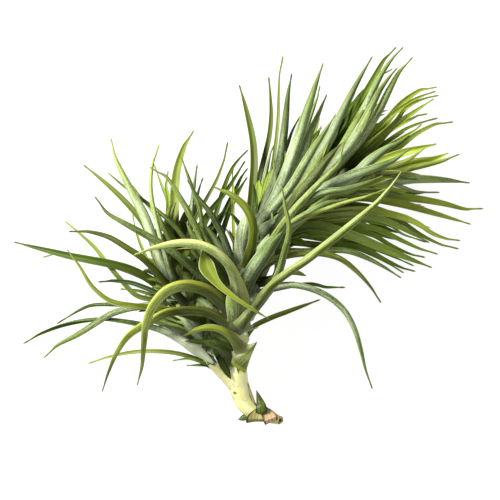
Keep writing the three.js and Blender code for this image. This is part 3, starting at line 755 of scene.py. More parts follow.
# tones of single leaves, by their numbers in the frame; their lightness paints the light and shade each leaf
# lies in
tonesByNumber = {
    "foot_bright": {1: (0.1, 0.8, 1.05)},
    "foot_olive": {1: (0.1, 0.1, 1.2)},
    "left_bright": {1: (0.2, 0.3, 0.8), 2: (0.35, 0.3, 0.85), 3: (0.35, 0.3, 0.85),
                    4: (0.5, 0.25, 1.05), 5: (0.35, 0.45, 0.72)},
    "left_dark": {1: (0.5, 0.05, 0.95), 2: (0.0, 0.1, 0.4), 3: (0.15, 0.2, 0.6), 4: (0.05, 0.25, 0.4),
                  5: (0.4, 0.15, 1.25)},
    "left_green": {1: (0.55, 0.35, 0.95), 2: (0.4, 0.45, 0.55), 3: (0.15, 0.2, 0.45),
                   4: (0.35, 0.2, 0.65), 5: (0.4, 0.25, 0.85)},
    "left_olive": {1: (0.6, 0.2, 0.95), 2: (0.4, 0.45, 0.7), 3: (0.25, 0.3, 0.55)},
    "left_silver": {1: (0.55, 0.45, 1.05), 2: (0.8, 0.65, 1.1), 3: (0.65, 0.65, 1.15),
                    4: (0.4, 0.0, 0.4)},
    "right_bright": {1: (0.1, 0.25, 0.52), 2: (0.4, 0.0, 0.88), 3: (0.5, 0.05, 0.98)},
    "right_dark": {1: (0.4, 0.2, 0.9)},
    "right_green": {1: (0.45, 0.35, 1.4), 2: (0.5, 0.4, 1.65), 3: (0.45, 0.3, 1.6), 4: (0.5, 0.3, 1.65),
                    5: (0.6, 0.25, 1.25), 6: (0.6, 0.3, 1.5)},
    "right_olive": {1: (0.5, 0.2, 0.85), 2: (0.4, 0.0, 0.4), 3: (0.0, 0.0, 0.5), 4: (0.5, 0.4, 1.35),
                    5: (0.45, 0.5, 1.45), 6: (0.3, 0.5, 1.25), 7: (0.15, 0.2, 1.05),
                    8: (0.3, 0.45, 1.05)},
    "right_silver": {1: (0.6, 0.4, 1.25), 2: (0.55, 0.4, 1.3), 3: (0.65, 0.3, 0.75), 4: (0.6, 0.4, 1.2),
                     5: (0.5, 0.2, 0.5), 6: (0.75, 0.2, 0.84), 7: (0.8, 0.1, 1.05),
                     8: (0.6, 0.25, 0.86), 9: (0.65, 0.05, 0.86), 10: (0.6, 0.2, 0.98),
                     11: (0.6, 0.2, 0.94), 13: (0.45, 0.45, 0.85)},
}
leafTones = {f"{group}_leaf_{number}": tone
             for group, row in tonesByNumber.items() for number, tone in row.items()}
leafTones["collar_sheath"] = (0.45, 0.4, 1.05)
# trim of a leaf: yellow lip (its sign says on which rim), share of the length that the pale
# base takes, share of pink and brown in that base
plainTrim = (0.0, 0.16, 0.0)
leafTrims = {
    "left_bright_leaf_1": (-0.7, 0.1, 0.0), "left_bright_leaf_2": (-0.9, 0.24, 0.12),
    "left_bright_leaf_3": (-0.95, 0.16, 0.0), "left_bright_leaf_4": (-0.8, 0.08, 0.0),
    "right_bright_leaf_2": (0.4, 0.1, 0.0), "left_dark_leaf_1": (0.0, 0.4, 0.0),
    "right_bright_leaf_3": (0.0, 0.05, 0.0), "right_bright_leaf_1": (0.0, 0.2, 0.0),
    "collar_sheath": (0.8, 0.3, 0.0), "foot_bright_leaf_1": (0.0, 0.26, 0.0), "free": (0.0, 0.04, 0.0),
}


def kindOf(name):
    return next(kind for kind in slotOf if f"_{kind}_" in name)


rng = random.Random(7)
chance = {
    "scurf": (-0.1, 0.1), "yellow": (-0.12, 0.12), "light": (0.9, 1.1),     # a leaf's own tone
    "seed": (1, 90),
    "shorter": (0.82, 1.0),     # a filling leaf against the longest that fits
    "stray": (-0.1, 0.1),       # of a leaf between two others, towards one of them
    "greener": 0.6,             # share of the leaves between silver ones that are green
    "underLength": (0.6, 0.85), "swing": (-9, 9),       # of a leaf under another: share, degrees
}


def blade(stations, kind, name="", darker=1.0, tone=None):
    # darker scales the leaf's lightness: painted shade below 1, for leaves that lie in the shade of others,
    # and painted light above 1
    scurf, yellow, light = tone or leafTones.get(name, kindTones[kind])
    moreScurf, moreYellow, lighter, seed = [rng.uniform(*chance[what])
                                            for what in ("scurf", "yellow", "light", "seed")]
    return {"seed": seed, "stations": stations, "trim": leafTrims.get(name, plainTrim),
            "tone": (scurf + moreScurf, yellow + moreYellow, light * lighter * darker)}


# rows along a blade and sides round it
leafDetail = {"frame": {"rows": 72, "sides": 16}, "drawn": {"rows": 64, "sides": 16},
              "filling": {"rows": 40, "sides": 12}, "bract": {"rows": 40}, "scale": {"rows": 28}}
unclasped = ("left_dark_leaf_1", "left_olive_leaf_1")      # these grow from the very fork of the stem
leafLines = {}
for name in sorted(n for n in cadNodes if "_leaf_" in n):
    leafLines[name] = swollen(leafStations(name), leafSwells.get(name, plainSwell))
    kind = kindOf(name)
    stations = leafLines[name] if name in unclasped else rooted(leafLines[name])
    stations[0][4] = 0.0
    leaf = growBlades(name + "_blade", [blade(stations, kind, name)], leafSkins[kind], **leafDetail["frame"])
    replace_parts(riding(leaf), name)
print("leaves grown:", len(leafLines))


# Each: kind, width, heights at root, middle and tip, turn in degrees (0 shows the silvery
# outer face from above, 180 the green groove), plan line from root to tip; mm from the
# middle of the picture and above the table; then its tone, if it isn't the tone of its kind.
# The free leaves clasp nothing, because their roots are hidden under others
moreLeaves = {
    "left": [
        ("silver", 1.8, (14, 11, 1.5), 0,
         ((-30, -18), (-45, -10), (-62, -4.2), (-77, -1.6), (-83.5, -3))),
        ("green", 1.5, (28, 28, 18), 0, ((-22, -6), (-33, 8), (-44.5, 22.5), (-47, 26))),
        ("green", 2.0, (26, 24, 16), 180, ((-33, -8), (-32.8, 8), (-32.5, 20), (-33.5, 25), (-32.7, 32))),
        ("green", 1.4, (24, 20, 10), 180,
         ((-33, -6), (-33.2, 8), (-33, 19), (-34.5, 23.6), (-38.5, 34.5))),
        ("dark", 1.7, (30, 30, 20), 0,
         ((-18, -2), (-19.3, 12), (-21, 19.3), (-24.4, 28.7), (-27.6, 37.5))),
        ("silver", 1.7, (24, 20, 12), 0, ((-26, -2), (-24, 10), (-23, 20), (-22.4, 25), (-21.1, 34.5))),
        ("silver", 1.4, (22, 17, 8), 0, ((-24, 4), (-22, 15), (-20.7, 23.3), (-18.7, 29.3))),
        ("dark", 1.8, (20, 16, 6), 180,
         ((-20, -4), (-15, 10), (-10.2, 25.5), (-6.2, 34.2), (-0.5, 40.4))),
        ("olive", 1.2, (26, 18, 10), 180, ((-6, -5), (-6.7, 12), (-6.8, 24.7), (-7, 31.6), (-6.5, 34.5))),
        ("dark", 1.6, (18, 12, 5), 180, ((-14, 8), (-9, 18), (-5, 26), (-3.3, 29.5), (-0.7, 33))),
        ("dark", 1.8, (16, 10, 4), 180, ((-12, 4), (-8.5, 15), (-5.1, 22.5), (-3.3, 25.8), (-0.9, 29.5))),
        ("green", 1.3, (20, 18, 12), 180, ((-29, -21), (-41.3, -17.3), (-45.3, -16.2), (-52.2, -15.6))),
        ("green", 1.4, (22, 24, 18), 180,
         ((-28, -22), (-36, -13), (-42.2, -1.3), (-45.3, 7), (-47, 14.5))),
        ("dark", 1.6, (20, 24, 10), 0,
         ((-24, -25), (-40, -22.5), (-56.4, -21.8), (-65.3, -22.7), (-77.6, -29.7))),
        ("dark", 1.1, (12, 9, 6), 180,
         ((-9, -47.5), (-16.4, -45.8), (-21.8, -44.2), (-25, -43.5), (-31.3, -44.5))),
        ("dark", 1.1, (11, 7, 4), 180, ((-9, -48.5), (-17, -46.3), (-25.8, -46.4))),
        ("dark", 3.0, (20, 22, 14), 0, ((-13, -40), (-20, -34.5), (-30, -30), (-42, -27))),
        ("green", 3.4, (22, 25, 16), 0, ((-14, -38), (-20, -31), (-30, -27), (-41, -24.6))),
        ("dark", 3.2, (20, 25, 22), 0, ((-8, -42), (-13, -38), (-19, -36.4), (-26, -36.5))),
        ("dark", 3.2, (22, 26, 20), 0, ((-17, -38), (-16, -28), (-15, -16), (-13, -2))),
        ("green", 3.2, (24, 30, 26), 0, ((-18, -34), (-20, -24), (-21, -12), (-20, 2))),
        ("silver", 3.4, (26, 32, 28), 0, ((-20, -32), (-25, -22), (-28, -10), (-29, 4))),
        ("silver", 3.0, (26, 31, 28), 0, ((-22, -28), (-24, -16), (-24, -2), (-22, 10))),
        ("green", 3.0, (24, 26, 22), 0, ((-16, -36), (-22, -28), (-30, -20), (-38, -13))),
        ("dark", 3.4, (24, 28, 24), 0, ((-5, -36), (-11, -30), (-16, -22), (-19, -12))),
        ("green", 3.2, (20, 24, 20), 0, ((-5, -40), (-12, -35), (-19, -30), (-27, -27))),
        ("silver", 3.2, (24, 30, 28), 0, ((-6, -33), (-12, -27), (-20, -20), (-28, -15))),
        ("dark", 3.0, (25, 30, 28), 0, ((-4, -26), (-10, -18), (-15, -8), (-18, 2))),
        ("dark", 3.2, (18, 20, 16), 0, ((-9, -44), (-12, -36), (-14, -27), (-17, -18))),
        ("silver", 3.0, (22, 26, 22), 0, ((-14, -36), (-18, -28), (-21, -20), (-23, -12))),
        ("silver", 2.8, (22, 27, 24), 0, ((-16, -38), (-24, -31), (-28, -23), (-30, -14))),
        ("silver", 2.6, (22, 27, 24), 0, ((-10, -34), (-13, -27), (-14, -19), (-14, -10))),
        ("dark", 3.0, (26, 30, 27), 0, ((-8, -18), (-12, -9), (-15, -2), (-17, 7))),
    ],
    "free": [
        ("dark", 3.2, (19, 17.5, 15.5), 0,
         ((-12.6, -41), (-10.4, -46.2), (-7.6, -51.8)), (0.1, 0.0, 0.55)),
        ("pale", 2.6, (18.5, 17, 12), 0,
         ((-13.5, -46), (-18, -41.8), (-24, -37.2), (-31, -33)), (0.8, 0.1, 1.0)),
        ("olive", 4.4, (42, 51, 56), 0,
         ((7, 3), (17, 18), (24.8, 28.4), (31, 36.4), (36.4, 42.4)), (0.45, 0.0, 0.46)),
    ],
    "middle": [
        ("dark", 1.4, (24, 22, 16), 180, ((8, -16), (23, -13.6), (30, -14.8), (34, -14.9), (38.3, -15))),
        ("bright", 1.6, (40, 50, 54), 0, ((4, 0), (15, 10), (36, 18.3), (45, 20.8), (55, 24.5))),
        ("pale", 6.2, (34, 42, 41), 0,
         ((-1, -6), (-2.6, 0), (-2.4, 6), (-1, 12), (0.4, 17)), (0.65, 0.1, 0.8)),
        ("silver", 5.4, (30, 42, 46), 0,
         ((-4.6, -32), (-6, -26), (-6.8, -20), (-6, -13)), (0.5, 0.5, 1.0)),
        ("silver", 5.6, (34, 46, 49), 0,
         ((-4.5, -18), (0, -10), (4.4, -3.4), (9, 3), (14.5, 9.5)), (0.6, 0.2, 0.8)),
        ("dark", 2.2, (40, 42, 41), 0, ((11, -11), (17, -8.8), (22.6, -10.4))),
    ],
    "right": [
        ("dark", 1.6, (32, 30, 18), 0, ((2, 10), (9, 27), (14.5, 40.7), (17.5, 49), (21.3, 55))),
        ("silver", 2.3, (33, 34, 22), 0, ((8, 14), (17, 34), (24.7, 55), (26.5, 59.6), (28, 66))),
        ("silver", 3.2, (34, 38, 26), 0, ((6, 12), (19.4, 36), (23.6, 46), (26.9, 53.5), (30.8, 62.4))),
        ("dark", 2.0, (33, 36, 34), 0, ((10, 18), (18, 32), (23.8, 43), (25.8, 46), (28.7, 48.7))),
        ("silver", 2.0, (30, 26, 20), 0, ((0, 4), (3, 16), (5.5, 27), (8, 38), (9.5, 42))),
        ("silver", 3.0, (34, 32, 14), 0, ((22, 20), (38, 40), (48.8, 63), (55.2, 74.4), (61.6, 81.5))),
        ("green", 2.0, (30, 24, 10), 0, ((30, 30), (44, 55), (53.2, 70.4), (57.2, 72.6))),
        ("silver", 3.2, (37, 40, 24), 0,
         ((24, 24), (40, 42), (46.8, 54), (52.6, 65), (59, 73)), (0.6, 0.5, 0.85)),
        ("olive", 2.0, (28, 20, 5), 180, ((34, 30), (52, 50), (64.8, 59.6), (68, 61.4), (74.7, 63.7))),
        ("olive", 2.0, (30, 24, 8), 180, ((30, 28), (55.6, 48.8), (61.6, 56), (68, 60), (75.8, 62))),
        ("olive", 2.0, (28, 22, 10), 180, ((30, 28), (50, 44), (65.2, 52.8), (68, 53.8), (71.4, 54.6))),
        ("green", 1.6, (24, 18, 6), 180, ((30, 26), (50, 40), (60.8, 47.6), (68, 50.8), (75.6, 53))),
        ("olive", 2.0, (30, 26, 16), 180, ((30, 26), (50, 38), (64, 46.8), (67.2, 48.4), (68.8, 50.4))),
        ("olive", 3.6, (34, 34, 24), 180, ((30, 24), (45, 32), (60, 38.4), (68, 40.6), (74.7, 42.4))),
        ("olive", 2.6, (34, 36, 30), 0, ((30, 22), (48, 30), (62.4, 35.6), (66.4, 38.2), (69.8, 40.8))),
        ("olive", 3.0, (32, 30, 16), 180, ((30, 22), (52, 31), (64, 35), (76, 37.5))),
        ("olive", 4.8, (33, 32, 20), 180,
         ((30, 22), (50, 29), (64, 33.5), (72, 35.6), (79.5, 38.8)), (0.35, 0.3, 1.3)),
        ("silver", 2.4, (28, 26, 12), 180,
         ((22, 12), (40, 14), (52, 12.5), (64, 7), (72, 2.8)), (0.5, 0.25, 1.2)),
        ("silver", 1.8, (34, 32, 22), 0, ((26, 18), (50, 27), (60, 25.2), (66.8, 23.2), (76, 23))),
        ("olive", 2.6, (28, 24, 6), 180,
         ((20, 12), (44, 16), (62, 12.8), (70.4, 8.4), (75.6, 5.2), (84.6, 3.7))),
        ("green", 1.5, (26, 24, 12), 180, ((14, 8), (36, 12), (54, 10.4), (60, 6.8), (70.8, 3))),
        ("dark", 2.1, (26, 22, 8), 180, ((12, 5), (32, 10), (48, 6.4), (56, 2), (64, -1.6), (70.5, -3))),
        ("dark", 2.3, (24, 20, 4), 180,
         ((6, 1), (15, 3), (30, 1.8), (44, 1.2), (52, -2.8), (60, -6.8), (66.6, -8.7))),
        ("silver", 1.5, (22, 17, 6), 180, ((14, 9), (36, 5), (52, -0.5), (66, -6.5))),
        ("green", 1.5, (21, 15, 5), 180, ((12, 7), (36, 2.6), (50, -2.5), (62, -9.4))),
    ],
}
growth = {
    "taper": 2.1,               # how late the blade narrows
    "flare": 0.3, "sheath": 0.13,           # its wider base: how much, and over which share
    "groove": 0.44,             # depth against width
    "root": 0.5, "tip": 0.22,   # mm, thickness there
    "freeRoot": (0.35, 0.8),    # width of the first two sections of a leaf that clasps nothing
    "leastHeight": 1.0,         # mm above the table
}
sections = 12       # of an extra leaf
fineSteps = 80      # of a smooth line, for measuring along it


def through(points, t):
    # smooth line through points, t from 0 to 1
    place = t * (len(points) - 1)
    i = min(int(place), len(points) - 2)
    u = place - i
    a = points[max(i - 1, 0)]
    b, c = points[i], points[i + 1]
    d = points[min(i + 2, len(points) - 1)]
    return 0.5 * (2 * b + (c - a) * u + (2 * a - 5 * b + 4 * c - d) * u * u
                  + (3 * b - a - 3 * c + d) * u ** 3)


def evenly(points, count):
    # points at even distances along a smooth line
    fine = [through(points, i / fineSteps) for i in range(fineSteps + 1)]
    return [fine[k].lerp(fine[k + 1], u) for k, u in evenPlaces(fine, count)]


def clothed(line, width, outwards):
    # a leaf's sections on a centre line in mm, its outer face turned to the outward vectors
    stations = []
    for i, (centre, outward) in enumerate(zip(line, outwards)):
        t = i / (len(line) - 1)
        along = ahead(line, i).normalized()
        outward = (outward - along * outward.dot(along)).normalized()
        flare = growth["flare"] * math.exp(-((t / growth["sheath"]) ** 2))
        across = width * (1 - t ** growth["taper"] + flare)
        thick = growth["root"] + (growth["tip"] - growth["root"]) * t
        stations.append([centre * mm, outward.cross(along), outward, across / 2 * mm, thick / 2 * mm,
                         growth["groove"] * across * mm])
    stations[-1][3:] = [0.0, 0.0, 0.0]
    return handed(fleshed(stations))


def drawnLeaf(width, heights, turn, plan):
    # a leaf from its plan line and its three heights
    flat = evenly([Vector((x, y, 0)) for x, y in plan], sections)
    line, outwards = [], []
    low, mid, high = heights
    for i, point in enumerate(flat):
        t = i / (sections - 1)
        z = low * (1 - t) * (1 - 2 * t) + mid * 4 * t * (1 - t) + high * t * (2 * t - 1)
        line.append(point + pictureOrigin + Vector((0, 0, max(z, growth["leastHeight"]))))
        side = upward.cross(ahead(flat, i)).normalized()
        outwards.append(upward * math.cos(math.radians(turn)) - side * math.sin(math.radians(turn)))
    return clothed(line, width, outwards)


def resampled(stations, count):
    # the same leaf with this many evenly spaced sections
    return [[a * (1 - u) + b * u for a, b in zip(stations[k], stations[k + 1])]
            for k, u in evenPlaces([station[0] for station in stations], count)]


# outline of each shoot's dense part, in mm from the middle of the picture: the tips of the
# filling leaves stay inside it
denseOutline = {
    "left": ((-14, -45), (-24, -41), (-36, -32), (-46, -25), (-47, -20), (-42, -14), (-44, -9), (-44, -4),
             (-42, 2), (-41, 6), (-40, 10), (-37, 18), (-34, 22), (-28, 24), (-22, 22), (-18, 22), (-14, 20),
             (-9, 18), (-4, 14), (-2, 4), (-4, -16), (-6, -32)),
    "right": ((0, -16), (7, -5), (20, 0), (32, 1.6), (46, 0.8), (58, -2.4), (66, -2), (73, 4), (77, 10),
              (82, 15), (84, 18), (76, 28), (72, 36), (70, 44), (68, 52), (64, 58), (58, 62), (52, 66),
              (44, 68), (38, 62), (32, 58), (27, 56), (20, 50), (16, 44), (12, 40), (6, 36), (2, 32),
              (-2, 20), (-4, 8)),
}


def isInside(outline, x, y):
    inside = False
    for (ax, ay), (bx, by) in zip(outline, outline[1:] + outline[:1]):
        if (ay > y) != (by > y) and x < (bx - ax) * (y - ay) / (by - ay) + ax:
            inside = not inside
    return inside


shortest, trimStep = 0.25, 0.04     # shares of the length that a filling leaf is tried at


def fitted(head, make, length):
    # the longest leaf, up to this length, whose tip is still inside the dense part
    shorter = rng.uniform(*chance["shorter"])
    while length > shortest:
        stations = make(length)
        tip = stations[-1][0] / mm - pictureOrigin
        if isInside(denseOutline[head], tip.x, tip.y):
            return make(length * shorter)
        length -= trimStep
    return None


# leaves between two neighbours of the frame (where between them, how long against them, and how
# many mm lower), how many leaves there are under each and how far these droop, then the lightness
# of all these and of the ones at the lower right, which is painted shade where it is below 1 and
# painted light above it
filling = {
    "left": {"between": (0.35, 0.68), "length": (0.55, 0.8), "drop": (2.0, 6.0), "under": 1, "below": 0.75,
             "inner": 0.6, "lower": 0.55, "kinds": ("dark", "green", "olive")},
    "right": {"between": (0.33, 0.66), "length": (0.6, 0.88), "drop": (1.0, 5.0), "under": 2, "below": 0.8,
              "inner": 0.95, "lower": 1.4, "kinds": ("green", "olive", "olive", "dark")},
}
floorClear, floorCurve = 0.9, 2.0       # mm kept above the table, and over which a leaf levels out
young = {"sag": 1.2, "wider": 1.1}      # a leaf between two others: where its sag ends, its width
underside = {"below": 2.5, "droop": 0.22, "turned": 5}      # a leaf under another: mm, slope, sections


def settled(line):
    # a line that dips below the table lies on it instead
    for point in line:
        if point.z < (floorClear + floorCurve) * mm:
            deeper = min(point.z / (floorCurve * mm) - (floorClear + floorCurve) / floorCurve, 0.0)
            point.z = floorClear * mm + floorCurve * mm * math.exp(deeper)
    return line


def betweenLeaves(a, b, share, length, drop):
    # a younger leaf between two neighbours, shorter and a little lower
    first, second = resampled(a, sections), resampled(b, sections)
    centres = [p[0] * (1 - share) + q[0] * share for p, q in zip(first, second)]
    made = []
    for i, (p, q) in enumerate(zip(first, second)):
        centre = centres[0] + (centres[i] - centres[0]) * length
        centre.z -= drop * mm * math.sin(math.pi * min(1.0, i / (sections - 1) * young["sag"]))
        outward = p[2] * (1 - share) + q[2] * share
        outward = (outward if outward.length > 0.2 else q[2]).normalized()
        made.append([centre, p[1], outward, (p[3] + q[3]) / 2 * young["wider"], (p[4] + q[4]) / 2,
                     (p[5] + q[5]) / 2])
    line = settled([station[0] for station in made])
    for i, station in enumerate(made):
        along = ahead(line, i).normalized()
        station[2] = (station[2] - along * station[2].dot(along)).normalized()
        station[1] = station[2].cross(along)
    made[-1][3:] = [0.0, 0.0, 0.0]
    return handed(made)


def underLeaf(a, length, swing, sink):
    # a leaf on the far side of the shoot, drooping towards the table
    made = resampled(a, sections)
    root = made[0][0].copy()
    for i, station in enumerate(made):
        away = station[0] - root
        turn = math.radians(swing) * min(1.0, i / underside["turned"])
        flat = Vector((away.x * math.cos(turn) - away.y * math.sin(turn),
                       away.x * math.sin(turn) + away.y * math.cos(turn), 0)) * length
        z = root.z - underside["below"] * mm - abs(away.z) * length * sink
        z -= underside["droop"] * flat.length * sink
        station[0] = Vector((root.x + flat.x, root.y + flat.y, z))
    line = settled([station[0] for station in made])
    for i, station in enumerate(made):
        along = ahead(line, i).normalized()
        side = upward.cross(along).normalized()
        station[1:3] = side, -along.cross(side)
    made[-1][3:] = [0.0, 0.0, 0.0]
    return handed(made)


def heading(stations):
    away = stations[-1][0] - stations[0][0]
    return math.atan2(away.y, away.x)


fanStart = -80      # degrees, the heading from which the leaves are counted


def fanOf(head):
    # the frame's leaves of one shoot, in the order of their headings
    names = [n for n in leafLines if n.startswith(head) and kindOf(n) != "bright"]
    return sorted(names, key=lambda n: (heading(leafLines[n]) - math.radians(fanStart)) % (2 * math.pi))


# young leaves in a spiral round each shoot, mostly on the sides and below, where they close
# the gaps between the leaves above them: along which part of the stem, how many, mm long and
# wide, degrees from the stem at the root and at the tip, and degrees to each side of straight down;
# their shade is painted shade, which darkens them for lying under the leaves above
spirals = {
    "left": {"inside": "left",
             "axis": ((-10, -50, 11), (-16, -44, 15.4), (-20.5, -35, 19.6), (-27, -22, 24.4), (-31, -12, 27)),
             "count": 40, "from": 0.22, "to": 1.0, "length": (24, 40), "width": (2.6, 4.0), "shade": 0.55,
             "leave": (18, 30), "bend": (45, 80), "open": 125, "kinds": ("dark", "green", "green", "silver")},
    "middle": {"inside": "left", "axis": ((-4.4, -42, 16), (-3.2, -28, 23.6), (-2, -18, 27), (0, 3, 30)),
               "count": 26, "from": 0.2, "to": 1.0, "length": (20, 34), "width": (2.6, 3.8), "shade": 0.55,
               "leave": (14, 24), "bend": (30, 60), "open": 110, "kinds": ("dark", "green", "olive")},
    "right": {"inside": "right", "axis": ((-2, -12, 28), (0, 3, 30), (18, 18.5, 32), (36, 29, 33)),
              "count": 44, "from": 0.05, "to": 1.0, "length": (34, 56), "width": (3.0, 4.4), "shade": 0.7,
              "leave": (12, 24), "bend": (25, 50), "open": 115, "kinds": ("olive", "green", "olive", "dark")},
}
goldenAngle = 137.5     # degrees, from each leaf to the next
spiralStart = 1.2       # mm from the middle of the stem
curlLate = 1.3          # how much of the bend comes towards the tip


def spiralLeaf(plan, k, size, pick):
    axis = [Vector(p) for p in plan["axis"]]
    t = plan["from"] + (plan["to"] - plan["from"]) * k / plan["count"]
    along = (through(axis, min(t + 0.05, 1.0)) - through(axis, t - 0.05)).normalized()
    # kept out of the open top of the shoot
    turn = math.radians(((k * goldenAngle) % 360 - 180) * plan["open"] / 180)
    down = (-upward + along * upward.dot(along)).normalized()
    radial = down * math.cos(turn) + along.cross(down) * math.sin(turn)
    length, leave, bend, width = [a + (b - a) * share for (a, b), share in zip(
        (plan["length"], plan["leave"], plan["bend"], plan["width"]), pick)]
    line, outwards = [through(axis, t) + radial * spiralStart], []
    for i in range(sections):
        angle = math.radians(leave + (bend - leave) * (i / (sections - 1)) ** curlLate)
        outwards.append(radial * math.cos(angle) - along * math.sin(angle))
        step = (along * math.cos(angle) + radial * math.sin(angle)) * (length * size) / sections
        line.append(line[-1] + step)
    line = settled([(point + pictureOrigin) * mm for point in line[:sections]])
    return clothed([point / mm for point in line], width, outwards)


grown = {}


def addLeaf(head, place, stations, kind, **look):
    grown.setdefault((head, kind, place), []).append(blade(stations, kind, **look))


for head, rows in moreLeaves.items():
    for kind, width, heights, turn, plan, *tone in rows:
        stations = drawnLeaf(width, heights, turn, plan)
        if head == "free":
            stations[0][4] = 0.0
            for station, share in zip(stations, growth["freeRoot"]):
                station[3] *= share
        else:
            stations = rooted(stations)
        # painted light on the spare leaves of the right shoot's fan
        light = fanPaintedLight.get(kind, 1.0) if head == "right" else 1.0
        addLeaf(head, "spare", stations, kind, name=head, darker=light, tone=tone[0] if tone else None)
for head, plan in filling.items():
    fan = fanOf(head)
    for nameA, nameB in zip(fan, fan[1:]):
        lines = leafLines[nameA], leafLines[nameB]
        for share in plan["between"]:
            share += rng.uniform(*chance["stray"])
            length, drop = rng.uniform(*plan["length"]), rng.uniform(*plan["drop"])
            stations = fitted(head, lambda size: betweenLeaves(*lines, share, size, drop), length)
            kind = kindOf(nameA if share < 0.5 else nameB)
            kind = "green" if kind == "silver" and rng.random() < chance["greener"] else kind
            if stations:
                addLeaf(head, "inner", rooted(stations), kind, darker=plan["inner"])
    for name in fan:
        for k in range(plan["under"]):
            length, swing = rng.uniform(*chance["underLength"]), rng.uniform(*chance["swing"])
            stations = fitted(head, lambda size: underLeaf(leafLines[name], size, swing, plan["below"]),
                              length)
            kind = rng.choice(plan["kinds"])
            if stations:
                # only those that point to the right hang in the shade of the fan; they get the painted
                # lightness of the lower right, the others the painted shade of the inner leaves
                reach = stations[-1][0] - stations[0][0]
                light = plan["lower"] if reach.x > reach.y else plan["inner"]
                addLeaf(head, "under", rooted(stations), kind, darker=light)
for head, plan in spirals.items():
    for k in range(plan["count"]):
        pick = [rng.random() for i in range(4)]
        kind = rng.choice(plan["kinds"])
        stations = fitted(plan["inside"], lambda size: spiralLeaf(plan, k, size, pick), 1.0)
        if stations:
            addLeaf(head, "spiral", stations, kind, darker=plan["shade"])
for (head, kind, place), blades in grown.items():
    detail = leafDetail["drawn" if place == "spare" else "filling"]
    riding(growBlades(f"{head}_{kind}_{place}_leaves", blades, leafSkins[kind], **detail))
print("filling leaves grown:", sum(len(blades) for blades in grown.values()))

# the collar and the scales at the foot, each against the frame's plain one: its width at the root
# and at the widest, where that is, how pointed its end is, how deeply it is cupped round the stem,
# its thickness, and how far each section of its root bends down on to the stem
bractSkins = {
    "green_thorn": {"skin": bracts["greenBract"], "slot": "green_thorn", "root": 0.5, "wide": 1.25,
                    "widest": 0.3, "point": 1.2, "cup": 0.3, "thick": 0.6,
                    "seated": (1.0, 0.8, 0.55, 0.35, 0.2, 0.1)},
    "dry_scale_1": {"skin": bracts["oliveBract"], "slot": "dry_scale", "root": 0.9, "wide": 1.3,
                    "widest": 0.3, "point": 1.3, "cup": 0.12, "thick": 0.4},
    "dry_scale_2": {"skin": bracts["dryBract"], "slot": "dry_scale", "root": 0.9, "wide": 1.3,
                    "widest": 0.3, "point": 1.3, "cup": 0.1, "thick": 0.4},
    "collar_sheath": {"skin": leafSkins["sheath"], "slot": "leaf_sheath", "root": 1.0, "wide": 1.3,
                      "widest": 0.08, "point": 1.1, "cup": 0.4, "thick": 0.6},
}
bractSections = 14
thickFrom = 4       # a bract has its full thickness from this part of its length on, 1 in 4
for name, plan in bractSkins.items():
    plain = resampled(leafStations(name, fleshy=False), bractSections)
    full = max(station[3] for station in plain)
    deep = max(station[5] for station in plain)
    for i, station in enumerate(plain):
        t = i / (bractSections - 1)
        opening = plan["root"] + (1 - plan["root"]) * math.sin(math.pi / 2 * min(1.0, t / plan["widest"]))
        closing = 1 - max(0.0, (t - plan["widest"]) / (1 - plan["widest"])) ** plan["point"]
        share = plan["wide"] * opening * closing
        station[3:] = [full * share, station[4] * plan["thick"] * min(1.0, t * thickFrom),
                       deep * share * plan["cup"]]
    for station, pull in zip(plain, plan.get("seated", ())):
        station[0] = station[0].lerp(stemTree.find_nearest(station[0])[0], pull)
    bract = growBlades(name + "_skin", [blade(handed(plain), "green", name)], plan["skin"],
                       **leafDetail["bract"])
    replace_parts(riding(bract), name)

# smaller scales there and a pale sheath at the fork, drawn as the leaves above are
footScales = (
    ("greenBract", "green_thorn", 2.4, (2.6, 2.2, 1.6), 0, ((0.6, -66.4), (-1.6, -67), (-4.8, -68.2))),
    ("greenBract", "green_thorn", 1.6, (4.6, 6.4, 7.2), 0, ((7, -67), (6.3, -64.4), (5.4, -61.4))),
    ("oliveBract", "dry_scale", 1.8, (5.4, 8.4, 10.6), 40, ((2.6, -63.2), (1, -58.6), (-0.9, -53))),
    ("sheath", "leaf_sheath", 9.2, (15.2, 18.6, 22.4), 0,
     ((-4.6, -49.6), (-4.7, -46), (-4.6, -42), (-4, -36))),
)
budShape = ((0, 0.1), (0.12, 0.5), (0.3, 0.9), (0.5, 1), (1, 1))
for k, (skin, slotName, width, heights, turn, plan) in enumerate(footScales):
    stations = drawnLeaf(width, heights, turn, plan)
    if skin == "sheath":
        stations = swollen(stations, budShape)
    stations[0][4] = 0.0
    skin = leafSkins["sheath"] if skin == "sheath" else bracts[skin]
    bract = growBlades(f"foot_scale_{k + 1}", [blade(stations, "green")], skin, **leafDetail["scale"])
    riding(bract)
print("bracts made:", len(bractSkins) + len(footScales))


stemShape = {
    "rest": 0.3,        # mm, from the table up to the underside of the skin
    "rings": {"fold": 1.0, "ringHeight": 0.012, "ringSpacing": 7.0 * mm},   # swollen leaf scars
    "main": {"rows": 220, "sides": 32}, "side": {"rows": 90, "sides": 24},
    # centre line of the side shoot, mm from the middle of the picture, with its radius
    "sideShoot": ((-5.4, -55, 8, 2.8), (-8.6, -51.5, 10, 2.7), (-12.4, -48, 12.6, 2.2), (-16, -44, 15.4, 1.9),
                  (-20.5, -35, 19.6, 1.6), (-27, -22, 24.4, 1.3), (-31, -12, 27, 0.9),
                  (-31.1, -11.7, 27.1, 0.0)),
}


